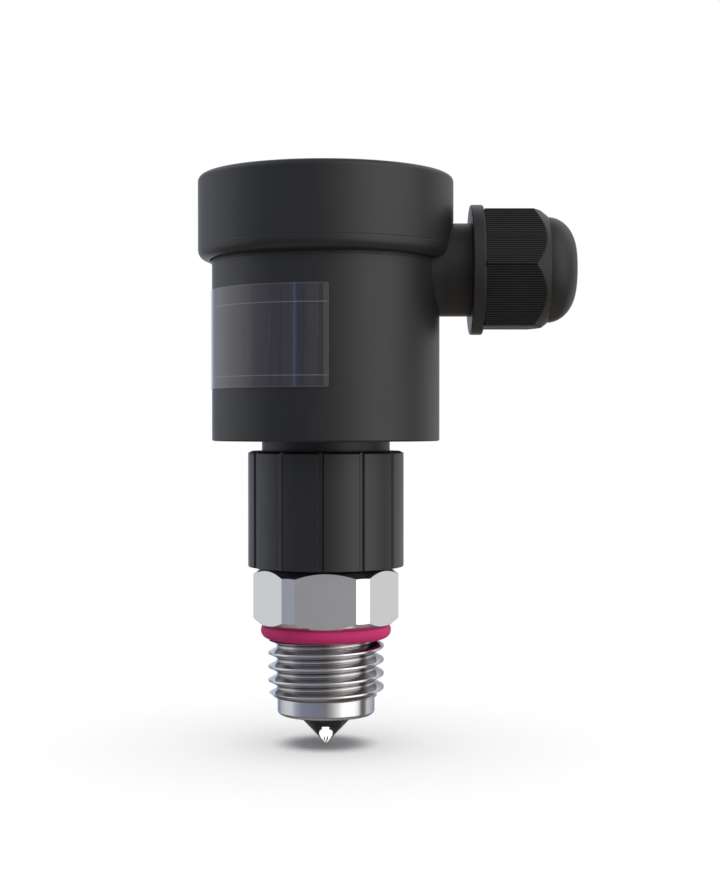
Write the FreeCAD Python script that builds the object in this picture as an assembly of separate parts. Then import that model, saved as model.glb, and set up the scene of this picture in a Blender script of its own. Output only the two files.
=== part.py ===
import FreeCAD, Part
import math
import os

# Optical level switch, in millimetres.
# The origin is on the axis, in the middle of the process thread. +Z points up
# to the lid, the tip hangs below, and the cable gland points to +X.

Vector = FreeCAD.Vector
UP = Vector(0, 0, 1)
AXIS_X = Vector(1, 0, 0)
AXIS_Y = Vector(0, 1, 0)
ORIGIN = Vector(0, 0, 0)
FULL_TURN = 360.0

# Clearances
running_gap = 0.2        # between turned pieces that move past each other
loose_gap = 0.3          # between mouldings that move past each other
seat_gap = 0.05          # between flat faces that bear on each other
fixed_gap = 0.05         # round a piece that is pushed into a bore
neck_gap = 0.25          # between the housing's neck and the fitting's pilot
washer_gap = 0.15        # between the slip washer and the union nut
ring_gap = 0.25          # between the retaining ring and the union nut
prism_gap = 0.2          # between the prism's flange and the fitting

# Process thread and nose
thread_diameter = 20.955
thread_depth = 1.5575
thread_pitch = 2.47
thread_crest_width = 0.35
thread_root_width = 0.5
thread_length = 10.4
thread_crest_share = 0.56    # where a crest passes +X, in pitches above the origin
nose_below_root = 0.11        # from the thread's root in to the nose
nose_length = 3.26
nose_corner_radius = 0.75
thread_end_chamfer = 0.45     # how far up the turned ends of the thread reach

# Hexagon
hex_cover = 0.225             # how far the flats reach past the O-ring
hex_bevel_reach = 1.15        # from the flats out to the corner bevels
hex_height = 10.67
hex_top_face_inset = 0.15
hex_bottom_face_inset = 0.95
hex_chamfer_angle = 40.0

# Process O-ring
seal_neck_below_root = 0.02
seal_neck_length = 2.05
o_ring_thickness = 2.9
o_ring_bite = 0.025           # how deep the ring lies in the neck
o_ring_drop = 0.5

# Upper end of the fitting
spigot_step = 1.2
spigot_height = 11.0
pilot_wall = 1.8
pilot_height = 7.5
pilot_groove_depth = 1.1
pilot_groove_width = 1.6
pilot_groove_height = 2.1
neck_seal_thickness = 1.24
thread_wall = 1.52            # from the thread's root in to the bore

# Prism and what holds it
prism_flange_width = 1.7
prism_flange_thickness = 2.9
prism_ledge_depth = 5.46      # from the nose face up to the ledge in the bore
prism_cone_inset = 0.15
prism_cone_height = 5.46
prism_tip_radius = 0.25
prism_seal_thickness = 0.6
retainer_height = 2.8
retainer_width = 1.5
retainer_slot_width = 1.2
retainer_slot_depth = 0.9

# Optics and their board
carrier_gap = 0.25            # round the carrier in the fitting
carrier_pilot_gap = 0.2       # round its lower end in the retainer
carrier_body_height = 8.0
lamp_diameter = 3.0
lamp_rim_diameter = 3.8
lamp_rim_thickness = 1.0
lamp_height = 4.2
lamp_spacing = 5.0
lamp_leg_diameter = 0.5
lamp_leg_length = 6.2
lamp_leg_spacing = 1.27
sensor_board_width = 11.0
sensor_board_thickness = 1.0
sensor_board_height = 19.0
sensor_board_slot_depth = 1.0
chip_width = 5.0
chip_height = 4.0
chip_thickness = 1.6
lead_diameter = 3.2
lead_bushing_height = 3.0
lead_bushing_drop = 0.2
lead_plug_diameter = 5.2
lead_plug_height = 5.0

# Union nut
nut_wall = 1.3
nut_room = 1.2                # beside the neck, for the washer and the ring
nut_length = 20.76
nut_hex_gap = 0.4
nut_lift = 1.5
nut_top_wall = 2.0
nut_top_chamfer_width = 0.72
nut_top_chamfer_height = 0.37
nut_flute_count = 12
nut_flute_width = 0.95
nut_flute_depth = 0.5
nut_flute_turn = -2.2         # degrees from the front to the nearest flute
dust_ring_width = 0.8
slip_washer_thickness = 1.28
retaining_ring_thickness = 1.0
retaining_ring_opening = 3.0
retaining_groove_depth = 0.7

# Housing
body_diameter = 41.0
body_wall = 2.0
body_floor = 2.45
body_bottom_edge = 0.3
housing_gap = 1.77            # from the union nut up to the housing
neck_wall = 2.1
rim_below_lid_top = 4.16
bead_reach = 0.45
bead_height = 0.45
bead_drop = 0.2

# Lid
lid_wall = 2.2
lid_height = 15.11
lid_above_housing_bottom = 32.4
lid_top_wall = 2.25
lid_top_radius = 1.1
lid_bottom_radius = 1.8
lid_seam_height = 2.52
lid_seam_width = 0.16
lid_seam_depth = 0.2
lid_guide_wall = 1.2
lid_guide_depth = 2.3
gasket_width = 1.7
gasket_thickness = 0.95

# Rating plate
plate_height = 17.7
plate_above_housing_bottom = 9.25
plate_thickness = 0.2
plate_right_edge = 1.6        # degrees from the front, to the right
plate_arc = 120.0
plate_corner_radius = 0.5

# Cable gland
gland_below_rim = 12.5
gland_boss_reach = 0.2        # from the body out to the gland's seat
gland_neck_length = 5.15
gland_shoulder_width = 1.43
gland_stem_wall = 1.75
gland_stem_overhang = 1.2     # past the lock nut
gland_bore_gap = 1.2          # round the cable behind the seal
collar_reach = 1.29           # past the dome nut's flats
collar_thickness = 2.35
collar_chamfer = 0.3
gland_thread_length = 8.4
gland_thread_step = 0.6       # from the thread in to the fingers
finger_length = 5.0
finger_taper = 0.8
finger_wall = 0.85
finger_slot_width = 1.0
finger_slot_pairs = 4
gland_seal_bore_depth = 10.1  # from the finger tips in to the step behind the seal
gland_cable_diameter = 8.0
gland_seal_wall = 2.35
gland_seal_length = 10.8
gland_inner_boss_edge = 1.6   # past the lock nut's flats
gland_inner_boss_depth = 3.3
lock_nut_wall = 2.05
lock_nut_thickness = 3.0
gland_washer_thickness = 0.8
gland_washer_width = 0.85

# Dome nut of the gland
dome_nut_wall = 1.49
dome_nut_corner_flat = 0.6
dome_nut_collar_gap = 0.15
dome_nut_corner_length = 8.85
dome_nut_chamfer_length = 2.45
dome_ring_inset = 0.69        # from the flats in to the ring before the dome
dome_inset = 0.2
dome_straight_length = 0.25
dome_bulge_length = 5.1
dome_end_diameter = 6.8
dome_hole_gap = 0.7           # round the cable
dome_front_wall = 2.45
dome_rib_count = 22
dome_rib_depth = 0.2
dome_nut_travel = 3.0

# Main board and what stands on it
board_height_above_floor = 8.7
board_thickness = 1.6
board_edge_gap = 0.6
board_flat_depth = 3.6        # from the cavity's wall
standoff_diameter = 4.5
standoff_from_wall = 3.0
standoff_angles = (78.8, 180.0, 281.2)
standoff_thread_diameter = 2.1
standoff_thread_depth = 5.0
screw_clearance_diameter = 2.7
screw_shank_diameter = 2.0
screw_shank_length = 5.0
screw_head_diameter = 4.2
screw_head_height = 1.5
screw_slot_width = 0.6
screw_slot_depth = 0.7
socket_diameter = 8.0
socket_length = 7.0
socket_end_wall = 2.8
relay_size = (5.0, 28.0, 15.0)
relay_centre = (-2.0, 0.0)
power_size = (7.5, 12.0, 11.0)
power_centre = (-9.25, -5.0)
module_edge = 0.4
capacitor_diameter = 6.3
capacitor_height = 11.0
capacitor_centre = (-9.0, 7.5)
capacitor_groove_height = 8.6
capacitor_groove_radius = 0.35
terminal_width = 8.0
terminal_height = 12.0
terminal_pitch = 5.0
terminal_count = 5
terminal_centre = (5.5, 0.0)
terminal_entry = 3.2
terminal_entry_depth = 5.0
terminal_entry_height = 3.4
terminal_screw_diameter = 3.4
terminal_screw_depth = 4.0
terminal_screw_length = 3.4

# Heights that follow
thread_top = thread_length / 2
thread_bottom = -thread_length / 2
nose_bottom = thread_bottom - nose_length
hex_bottom = thread_top + seal_neck_length
hex_top = hex_bottom + hex_height
spigot_top = hex_top + spigot_height
pilot_top = spigot_top + pilot_height
neck_bottom = spigot_top + seat_gap
nut_bottom = hex_top + nut_hex_gap
nut_top = nut_bottom + nut_length
nut_shoulder = nut_top - nut_top_wall
slip_washer_top = nut_shoulder - seat_gap
retaining_ring_top = slip_washer_top - slip_washer_thickness - seat_gap
retaining_ring_bottom = retaining_ring_top - retaining_ring_thickness
housing_bottom = nut_top + housing_gap
floor_top = housing_bottom + body_floor
lid_bottom = housing_bottom + lid_above_housing_bottom
lid_top = lid_bottom + lid_height
rim_top = lid_top - rim_below_lid_top
gland_height = rim_top - gland_below_rim
board_bottom = floor_top + board_height_above_floor
board_top = board_bottom + board_thickness
prism_ledge = nose_bottom + prism_ledge_depth
prism_top = prism_ledge + prism_seal_thickness + prism_flange_thickness
retainer_bottom = prism_top + seat_gap
retainer_top = retainer_bottom + retainer_height
carrier_top = retainer_top + seat_gap + carrier_body_height
lamp_seat = prism_top + seat_gap + lamp_height
sensor_board_bottom = carrier_top - sensor_board_slot_depth
sensor_board_top = sensor_board_bottom + sensor_board_height
socket_bottom = board_bottom - socket_length
lead_plug_top = board_bottom - socket_end_wall - loose_gap
lead_plug_bottom = lead_plug_top - lead_plug_height

# Radii that follow, from the thread inwards
thread_radius = thread_diameter / 2
thread_root_radius = thread_radius - thread_depth
seal_neck_radius = thread_root_radius - seal_neck_below_root
nose_radius = thread_root_radius - nose_below_root
bore_radius = thread_root_radius - thread_wall
prism_flange_radius = bore_radius - prism_gap
prism_shank_radius = prism_flange_radius - prism_flange_width
prism_cone_radius = prism_shank_radius - prism_cone_inset
retainer_bore_radius = bore_radius - retainer_width
carrier_radius = bore_radius - carrier_gap
carrier_pilot_radius = retainer_bore_radius - carrier_pilot_gap

# Radii that follow, from the bore outwards
pilot_radius = bore_radius + pilot_wall
spigot_radius = pilot_radius + spigot_step
dust_ring_radius = spigot_radius + dust_ring_width
neck_bore_radius = pilot_radius + neck_gap
neck_radius = neck_bore_radius + neck_wall
nut_bore_radius = spigot_radius + running_gap
nut_mouth_radius = neck_radius + running_gap
nut_cavity_radius = neck_radius + nut_room
nut_radius = nut_cavity_radius + nut_wall

# Radii of the O-ring and the hexagon above it
o_ring_circle_radius = seal_neck_radius - o_ring_bite + o_ring_thickness / 2
hex_flat_radius = o_ring_circle_radius + o_ring_thickness / 2 + hex_cover
hex_bevel_radius = hex_flat_radius + hex_bevel_reach
hex_top_face_radius = hex_flat_radius - hex_top_face_inset
hex_bottom_face_radius = hex_flat_radius - hex_bottom_face_inset

# Radii of the housing and the lid
body_radius = body_diameter / 2
cavity_radius = body_radius - body_wall
bead_radius = body_radius + bead_reach
lid_bore_radius = body_radius + loose_gap
lid_radius = lid_bore_radius + lid_wall
board_radius = cavity_radius - board_edge_gap
board_flat_distance = cavity_radius - board_flat_depth
standoff_circle_radius = cavity_radius - standoff_from_wall

# Radii of the cable gland, from the cable outwards
cable_radius = gland_cable_diameter / 2
gland_seal_radius = cable_radius + gland_seal_wall
gland_seal_bore_radius = gland_seal_radius + loose_gap
finger_tip_radius = gland_seal_bore_radius + finger_wall
finger_base_radius = finger_tip_radius + finger_taper
gland_thread_radius = finger_base_radius + gland_thread_step
dome_nut_flat_radius = gland_thread_radius + dome_nut_wall
dome_ring_radius = dome_nut_flat_radius - dome_ring_inset
dome_radius = dome_ring_radius - dome_inset
dome_hole_radius = cable_radius + dome_hole_gap
collar_radius = dome_nut_flat_radius + collar_reach
gland_bore_radius = cable_radius + gland_bore_gap
gland_stem_radius = gland_bore_radius + gland_stem_wall
gland_neck_radius = gland_stem_radius + gland_shoulder_width
lock_nut_flat_radius = gland_stem_radius + lock_nut_wall
gland_inner_boss_radius = lock_nut_flat_radius + gland_inner_boss_edge

# Distances along the gland from the main axis
gland_seat_distance = body_radius + gland_boss_reach
gland_inner_seat_distance = cavity_radius - gland_inner_boss_depth
lock_nut_start = gland_inner_seat_distance - lock_nut_thickness
gland_stem_start = lock_nut_start - gland_stem_overhang
collar_start = gland_seat_distance + gland_neck_length
collar_end = collar_start + collar_thickness
finger_start = collar_end + gland_thread_length
finger_end = finger_start + finger_length
seal_step = finger_end - gland_seal_bore_depth
dome_nut_start = collar_end + dome_nut_collar_gap
dome_ring_end = dome_nut_start + dome_nut_corner_length + dome_nut_chamfer_length
dome_bulge_start = dome_ring_end + dome_straight_length
dome_nut_end = dome_bulge_start + dome_bulge_length


def cylinder(radius, bottom, top, x=0.0, y=0.0):
    return Part.makeCylinder(radius, top - bottom, Vector(x, y, bottom), UP)


def tube(inner, outer, bottom, top):
    return cylinder(outer, bottom, top).cut(cylinder(inner, bottom, top))


def box(x_range, y_range, z_range):
    size = [pair[1] - pair[0] for pair in (x_range, y_range, z_range)]
    return Part.makeBox(*size, Vector(x_range[0], y_range[0], z_range[0]))


def around(centre, size):
    return (centre - size / 2, centre + size / 2)


def turned(start, *steps):
    """Revolve a closed outline of (radius, height) points about Z.

    A step is the next point, or a pair of points for an arc: one that the
    arc passes and its end.
    """
    def place(point):
        return Vector(point[0], 0, point[1])

    edges = []
    here = start
    for step in steps + (start,):
        if isinstance(step[0], tuple):
            through, end = step
            edges.append(Part.Arc(place(here), place(through), place(end)).toShape())
        else:
            end = step
            edges.append(Part.makeLine(place(here), place(end)))
        here = end
    face = Part.Face(Part.Wire(edges))
    return face.revolve(ORIGIN, UP, FULL_TURN)


def arc(centre, radius, start_angle, end_angle):
    """An arc step for turned(), with angles in degrees from the outward radius."""
    def at(angle):
        turn = math.radians(angle)
        return (centre[0] + radius * math.cos(turn), centre[1] + radius * math.sin(turn))

    return (at((start_angle + end_angle) / 2), at(end_angle))


def polygon_prism(points, bottom, top):
    corners = [Vector(x, y, bottom) for x, y in points]
    face = Part.Face(Part.makePolygon(corners + corners[:1]))
    return face.extrude(UP * (top - bottom))


def corner_of(flat_radius):
    """How far a hexagon's corners are from its centre."""
    return flat_radius * 2 / math.sqrt(3)


def hexagon(flat_radius, bottom, top, first_corner=0.0):
    corner_radius = corner_of(flat_radius)
    turns = [math.radians(first_corner + 60 * i) for i in range(6)]
    points = [(corner_radius * math.cos(t), corner_radius * math.sin(t)) for t in turns]
    return polygon_prism(points, bottom, top)


def on_gland(shape):
    """Lay a shape that was built along +Z onto the gland's axis, along +X."""
    placed = shape.copy()
    placed.rotate(ORIGIN, AXIS_Y, 90)
    placed.translate(Vector(0, 0, gland_height))
    return placed


def ring_round(circle_radius, thickness, height):
    return Part.makeTorus(circle_radius, thickness / 2, Vector(0, 0, height), UP)


def joined(shapes):
    return shapes[0].fuse(shapes[1:]).removeSplitter()


def hex_stage():
    """The hexagon with flat corner bevels and turned chamfers at both ends."""
    blank = hexagon(hex_flat_radius, hex_bottom, hex_top)
    bevels = hexagon(hex_bevel_radius, hex_bottom, hex_top, first_corner=30)
    slope = math.tan(math.radians(hex_chamfer_angle))
    widest = corner_of(hex_flat_radius) + seat_gap
    chamfers = turned(
        (0, hex_bottom),
        (hex_bottom_face_radius, hex_bottom),
        (widest, hex_bottom + (widest - hex_bottom_face_radius) * slope),
        (widest, hex_top - (widest - hex_top_face_radius) * slope),
        (hex_top_face_radius, hex_top),
        (0, hex_top),
    )
    return blank.common(bevels).common(chamfers)


def thread_groove():
    """The right-hand helical groove between the thread's crests."""
    root = thread_root_radius
    flank = (thread_pitch - thread_crest_width - thread_root_width) / 2
    spread = flank / (thread_radius - root)
    reach = thread_radius + loose_gap
    inner_half = thread_root_width / 2
    outer_half = inner_half + spread * (reach - root)
    phase = (thread_crest_share + 0.5) * thread_pitch
    turns_below = math.ceil((phase - thread_bottom) / thread_pitch) + 1
    start = phase - turns_below * thread_pitch
    end = hex_bottom - outer_half - seat_gap
    corners = [
        Vector(root, 0, -inner_half),
        Vector(reach, 0, -outer_half),
        Vector(reach, 0, outer_half),
        Vector(root, 0, inner_half),
    ]
    profile = Part.makePolygon(corners + corners[:1])
    path = Part.makeLongHelix(thread_pitch, end - start, thread_radius, 0, False)
    sweep = Part.BRepOffsetAPI.MakePipeShell(path)
    sweep.setFrenetMode(True)
    sweep.add(profile)
    sweep.build()
    sweep.makeSolid()
    groove = sweep.shape()
    groove.translate(Vector(0, 0, start))
    return groove


def process_fitting():
    groove_bottom = spigot_top + pilot_groove_height
    groove_top = groove_bottom + pilot_groove_width
    tip_bore_radius = prism_shank_radius + fixed_gap
    core = turned(
        (tip_bore_radius, nose_bottom),
        (nose_radius - nose_corner_radius, nose_bottom),
        arc((nose_radius - nose_corner_radius, nose_bottom + nose_corner_radius),
            nose_corner_radius, -90, 0),
        (nose_radius, thread_bottom),
        (thread_radius, thread_bottom + thread_end_chamfer),
        (thread_radius, thread_top - thread_end_chamfer),
        (seal_neck_radius, thread_top),
        (seal_neck_radius, hex_bottom),
        (spigot_radius, hex_bottom),
        (spigot_radius, spigot_top),
        (pilot_radius, spigot_top),
        (pilot_radius, groove_bottom),
        (pilot_radius - pilot_groove_depth, groove_bottom),
        (pilot_radius - pilot_groove_depth, groove_top),
        (pilot_radius, groove_top),
        (pilot_radius, pilot_top),
        (bore_radius, pilot_top),
        (bore_radius, prism_ledge),
        (tip_bore_radius, prism_ledge),
    )
    hexagon_ring = hex_stage().cut(cylinder(bore_radius, hex_bottom, hex_top))
    seal_seat = ring_round(o_ring_circle_radius, o_ring_thickness + 2 * fixed_gap,
                           hex_bottom - o_ring_drop)
    fitting = joined([core, hexagon_ring])
    return fitting.cut(seal_seat).cut(thread_groove())


def process_o_ring():
    return ring_round(o_ring_circle_radius, o_ring_thickness,
                      hex_bottom - o_ring_drop)


def prism_tip():
    """The flanged prism: a cone of about ninety degrees with a small round tip."""
    half_angle = math.atan(prism_cone_radius / prism_cone_height)
    apex = nose_bottom - prism_cone_height
    tip_centre = (0, apex + prism_tip_radius)
    tangent_angle = -math.degrees(half_angle)
    tangent = (prism_tip_radius * math.cos(half_angle),
               tip_centre[1] - prism_tip_radius * math.sin(half_angle))
    flange_bottom = prism_ledge + prism_seal_thickness
    return turned(
        (0, prism_top),
        (prism_flange_radius, prism_top),
        (prism_flange_radius, flange_bottom),
        (prism_shank_radius, flange_bottom),
        (prism_shank_radius, nose_bottom),
        (prism_cone_radius, nose_bottom),
        tangent,
        arc(tip_centre, prism_tip_radius, tangent_angle, -90),
    )


def prism_seal_ring():
    return tube(prism_shank_radius + fixed_gap, prism_flange_radius, prism_ledge,
                prism_ledge + prism_seal_thickness)


def prism_retainer():
    body = tube(retainer_bore_radius, bore_radius - fixed_gap, retainer_bottom,
                retainer_top)
    slot = box(around(0, retainer_slot_width), around(0, 2 * bore_radius),
               (retainer_top - retainer_slot_depth, retainer_top))
    return body.cut(slot)


def lamp_places():
    return {"emitter": -lamp_spacing / 2, "receiver": lamp_spacing / 2}


def optic_carrier():
    pilot = cylinder(carrier_pilot_radius, prism_top + seat_gap, retainer_top + seat_gap)
    body = cylinder(carrier_radius, retainer_top + seat_gap, carrier_top)
    carrier = joined([pilot, body])
    for x in lamp_places().values():
        carrier = carrier.cut(cylinder(lamp_diameter / 2 + fixed_gap, prism_top,
                                       carrier_top, x))
        carrier = carrier.cut(cylinder(lamp_rim_diameter / 2 + fixed_gap, lamp_seat,
                                       carrier_top, x))
    slot = box(around(0, sensor_board_width + 2 * fixed_gap),
               around(0, sensor_board_thickness + 2 * fixed_gap),
               (sensor_board_bottom, carrier_top))
    return carrier.cut(slot)


def lamp(x):
    """A small clear lamp or receiver, dome down, with its two legs up."""
    radius = lamp_diameter / 2
    rim_radius = lamp_rim_diameter / 2
    bottom = prism_top + 2 * seat_gap
    rim_top_height = lamp_seat + lamp_rim_thickness
    body = turned(
        (0, bottom),
        arc((0, bottom + radius), radius, -90, 0),
        (radius, lamp_seat),
        (rim_radius, lamp_seat),
        (rim_radius, rim_top_height),
        (0, rim_top_height),
    )
    body.translate(Vector(x, 0, 0))
    leg_y = sensor_board_thickness / 2 + lamp_leg_diameter / 2 + fixed_gap
    legs = [cylinder(lamp_leg_diameter / 2, rim_top_height, rim_top_height + lamp_leg_length,
                     x + side * lamp_leg_spacing / 2, leg_y) for side in (-1, 1)]
    return joined([body] + legs)


def sensor_board():
    return box(around(0, sensor_board_width), around(0, sensor_board_thickness),
               (sensor_board_bottom, sensor_board_top))


def sensor_chip():
    face = -sensor_board_thickness / 2
    middle = (carrier_top + sensor_board_top) / 2
    return box(around(0, chip_width), (face - chip_thickness, face),
               around(middle, chip_height))


def signal_lead():
    return cylinder(lead_diameter / 2, sensor_board_top, lead_plug_bottom)


def lead_plug():
    return cylinder(lead_plug_diameter / 2, lead_plug_bottom, lead_plug_top)


def lead_bushing():
    top = pilot_top - lead_bushing_drop
    return tube(lead_diameter / 2 + fixed_gap, bore_radius - fixed_gap,
                top - lead_bushing_height, top)


def neck_seal_ring():
    inner_radius = pilot_radius - pilot_groove_depth + fixed_gap / 2
    height = spigot_top + pilot_groove_height + pilot_groove_width / 2
    return ring_round(inner_radius + neck_seal_thickness / 2,
                      neck_seal_thickness, height)


def thread_dust_ring():
    return tube(spigot_radius + fixed_gap, dust_ring_radius, hex_top,
                nut_bottom - seat_gap)


def slip_washer():
    return tube(nut_mouth_radius, nut_cavity_radius - washer_gap,
                slip_washer_top - slip_washer_thickness, slip_washer_top)


def neck_retaining_ring():
    inner = neck_radius - retaining_groove_depth + fixed_gap
    ring = tube(inner, nut_cavity_radius - ring_gap, retaining_ring_bottom,
                retaining_ring_top)
    opening = box((0, nut_cavity_radius), around(0, retaining_ring_opening),
                  (retaining_ring_bottom, retaining_ring_top))
    opening.rotate(ORIGIN, UP, 90)
    return ring.cut(opening)


def union_nut():
    """The fluted nut: threaded below, wide above, with a shoulder at its mouth."""
    cavity_bottom = neck_bottom - nut_lift - loose_gap
    body = turned(
        (nut_bore_radius, nut_bottom),
        (nut_radius, nut_bottom),
        (nut_radius, nut_top - nut_top_chamfer_height),
        (nut_radius - nut_top_chamfer_width, nut_top),
        (nut_mouth_radius, nut_top),
        (nut_mouth_radius, nut_shoulder),
        (nut_cavity_radius, nut_shoulder),
        (nut_cavity_radius, cavity_bottom),
        (nut_bore_radius, cavity_bottom),
    )
    flute_points = [
        (nut_radius - nut_flute_depth, 0),
        (nut_radius + nut_flute_depth, nut_flute_width),
        (nut_radius + nut_flute_depth, -nut_flute_width),
    ]
    for i in range(nut_flute_count):
        flute = polygon_prism(flute_points, nut_bottom, nut_top)
        flute.rotate(ORIGIN, UP, -90 + nut_flute_turn + i * FULL_TURN / nut_flute_count)
        body = body.cut(flute)
    return body


def housing_base():
    """Cup, floor, neck and the two bosses of the gland, moulded as one piece."""
    groove_radius = neck_radius - retaining_groove_depth
    groove_top = retaining_ring_top + seat_gap
    groove_bottom = retaining_ring_bottom - seat_gap
    bead_top = lid_bottom - bead_drop
    shell = turned(
        (neck_bore_radius, neck_bottom),
        (neck_radius, neck_bottom),
        (neck_radius, groove_bottom),
        (groove_radius, groove_bottom),
        (groove_radius, groove_top),
        (neck_radius, groove_top),
        (neck_radius, housing_bottom),
        (body_radius - body_bottom_edge, housing_bottom),
        arc((body_radius - body_bottom_edge, housing_bottom + body_bottom_edge),
            body_bottom_edge, -90, 0),
        (body_radius, bead_top - bead_height),
        (bead_radius, bead_top - bead_height),
        (bead_radius, bead_top),
        (body_radius, bead_top),
        (body_radius, rim_top),
        (cavity_radius, rim_top),
        (cavity_radius, floor_top),
        (neck_bore_radius, floor_top),
    )
    within_wall = cylinder(body_radius - body_wall / 2, floor_top, rim_top)
    inner_boss = on_gland(cylinder(gland_inner_boss_radius, gland_inner_seat_distance,
                                   body_radius)).common(within_wall)
    outer_boss = on_gland(cylinder(gland_neck_radius, gland_inner_seat_distance,
                                   gland_seat_distance))
    stem_hole = on_gland(cylinder(gland_stem_radius + fixed_gap,
                                  gland_inner_seat_distance, bead_radius + seat_gap))
    return joined([shell, inner_boss, outer_boss]).cut(stem_hole)


def rating_plate():
    """The thin bare plate, bent round the body, with rounded corners."""
    inner = body_radius
    outer = body_radius + plate_thickness
    bottom = housing_bottom + plate_above_housing_bottom
    top = bottom + plate_height
    right = -90 + plate_right_edge
    sheet = Part.makeCylinder(outer, top - bottom, Vector(0, 0, bottom), UP, plate_arc)
    sheet = sheet.cut(cylinder(inner, bottom, top))
    sheet.rotate(ORIGIN, UP, right - plate_arc)
    corners = []
    for edge_angle, inward in ((right, -1), (right - plate_arc, 1)):
        turn = math.degrees(plate_corner_radius / outer)
        centre_angle = edge_angle + inward * turn
        for edge_height, step in ((bottom, 1), (top, -1)):
            centre_height = edge_height + step * plate_corner_radius
            corners.append(plate_corner(edge_angle, centre_angle, edge_height,
                                        centre_height))
    for corner in corners:
        sheet = sheet.cut(corner)
    return sheet


def plate_corner(edge_angle, centre_angle, edge_height, centre_height):
    """What the rounding takes off one corner of the plate."""
    reach = body_radius + 2 * plate_thickness
    block = Part.makeBox(reach, plate_corner_radius, plate_corner_radius)
    side = math.copysign(1, edge_angle - centre_angle)
    y_shift = 0 if side > 0 else -plate_corner_radius
    z_shift = min(edge_height, centre_height)
    block.translate(Vector(0, y_shift, z_shift))
    round_pin = Part.makeCylinder(plate_corner_radius, reach, Vector(0, 0, centre_height),
                                  AXIS_X)
    piece = block.cut(round_pin)
    piece.rotate(ORIGIN, UP, centre_angle)
    return piece


def lid():
    ceiling = lid_top - lid_top_wall
    seam = lid_bottom + lid_seam_height
    half_seam = lid_seam_width / 2
    guide_outer = cavity_radius - loose_gap
    guide_inner = guide_outer - lid_guide_wall
    shoulder = rim_top + seat_gap + gasket_thickness
    shell = turned(
        (0, ceiling),
        (guide_inner, ceiling),
        (guide_inner, rim_top - lid_guide_depth + gasket_thickness),
        (guide_outer, rim_top - lid_guide_depth + gasket_thickness),
        (guide_outer, shoulder),
        (lid_bore_radius, shoulder),
        (lid_bore_radius, lid_bottom),
        (lid_radius - lid_bottom_radius, lid_bottom),
        arc((lid_radius - lid_bottom_radius, lid_bottom + lid_bottom_radius),
            lid_bottom_radius, -90, 0),
        (lid_radius, seam - half_seam),
        (lid_radius - lid_seam_depth, seam - half_seam),
        (lid_radius - lid_seam_depth, seam + half_seam),
        (lid_radius, seam + half_seam),
        (lid_radius, lid_top - lid_top_radius),
        arc((lid_radius - lid_top_radius, lid_top - lid_top_radius), lid_top_radius,
            0, 90),
        (0, lid_top),
    )
    notch = on_gland(cylinder(gland_neck_radius + loose_gap,
                              gland_inner_seat_distance, 2 * lid_radius))
    return shell.cut(notch)


def lid_gasket():
    bottom = rim_top + seat_gap
    inner = cavity_radius + seat_gap / 2
    return tube(inner, inner + gasket_width, bottom, bottom + gasket_thickness)


def gland_body():
    """Stem, neck, collar, thread and clamping fingers of the cable gland."""
    washer_radius = gland_stem_radius + fixed_gap + gland_washer_width + fixed_gap
    washer_depth = gland_seat_distance + gland_washer_thickness
    body = turned(
        (gland_bore_radius, gland_stem_start),
        (gland_stem_radius, gland_stem_start),
        (gland_stem_radius, washer_depth),
        (washer_radius, washer_depth),
        (washer_radius, gland_seat_distance),
        (gland_neck_radius, gland_seat_distance),
        (gland_neck_radius, collar_start),
        (collar_radius - collar_chamfer, collar_start),
        (collar_radius, collar_start + collar_chamfer),
        (collar_radius, collar_end - collar_chamfer),
        (collar_radius - collar_chamfer, collar_end),
        (gland_thread_radius, collar_end),
        (gland_thread_radius, finger_start),
        (finger_base_radius, finger_start),
        (finger_tip_radius, finger_end),
        (gland_seal_bore_radius, finger_end),
        (gland_seal_bore_radius, seal_step),
        (gland_bore_radius, seal_step),
    )
    for i in range(finger_slot_pairs):
        slot = box(around(0, 2 * gland_thread_radius), around(0, finger_slot_width),
                   (finger_start, finger_end))
        slot.rotate(ORIGIN, UP, i * 180 / finger_slot_pairs + 90 / finger_slot_pairs)
        body = body.cut(slot)
    return on_gland(body)


def gland_washer():
    inner = gland_stem_radius + fixed_gap
    return on_gland(tube(inner, inner + gland_washer_width, gland_seat_distance,
                         gland_seat_distance + gland_washer_thickness))


def gland_lock_nut():
    nut = hexagon(lock_nut_flat_radius, lock_nut_start, gland_inner_seat_distance)
    hole = cylinder(gland_stem_radius + fixed_gap, lock_nut_start,
                    gland_inner_seat_distance)
    return on_gland(nut.cut(hole))


def gland_seal():
    start = seal_step + seat_gap
    return on_gland(tube(cable_radius, gland_seal_radius, start,
                         start + gland_seal_length))


def ribbed_hexagon_points():
    """The nut's hexagon: fine ribs along each side, a small flat on each corner."""
    half_side = dome_nut_flat_radius / math.sqrt(3)
    ribbed_half = half_side - dome_nut_corner_flat
    rib_pitch = 2 * ribbed_half / dome_rib_count
    points = []
    for side in range(6):
        turn = math.radians(60 * side)
        line = [(dome_nut_flat_radius, -ribbed_half)]
        for rib in range(dome_rib_count):
            start = -ribbed_half + rib * rib_pitch
            line.append((dome_nut_flat_radius - dome_rib_depth, start + rib_pitch / 4))
            line.append((dome_nut_flat_radius, start + rib_pitch))
        for out, along in line:
            points.append((out * math.cos(turn) - along * math.sin(turn),
                           out * math.sin(turn) + along * math.cos(turn)))
    return points


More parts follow.
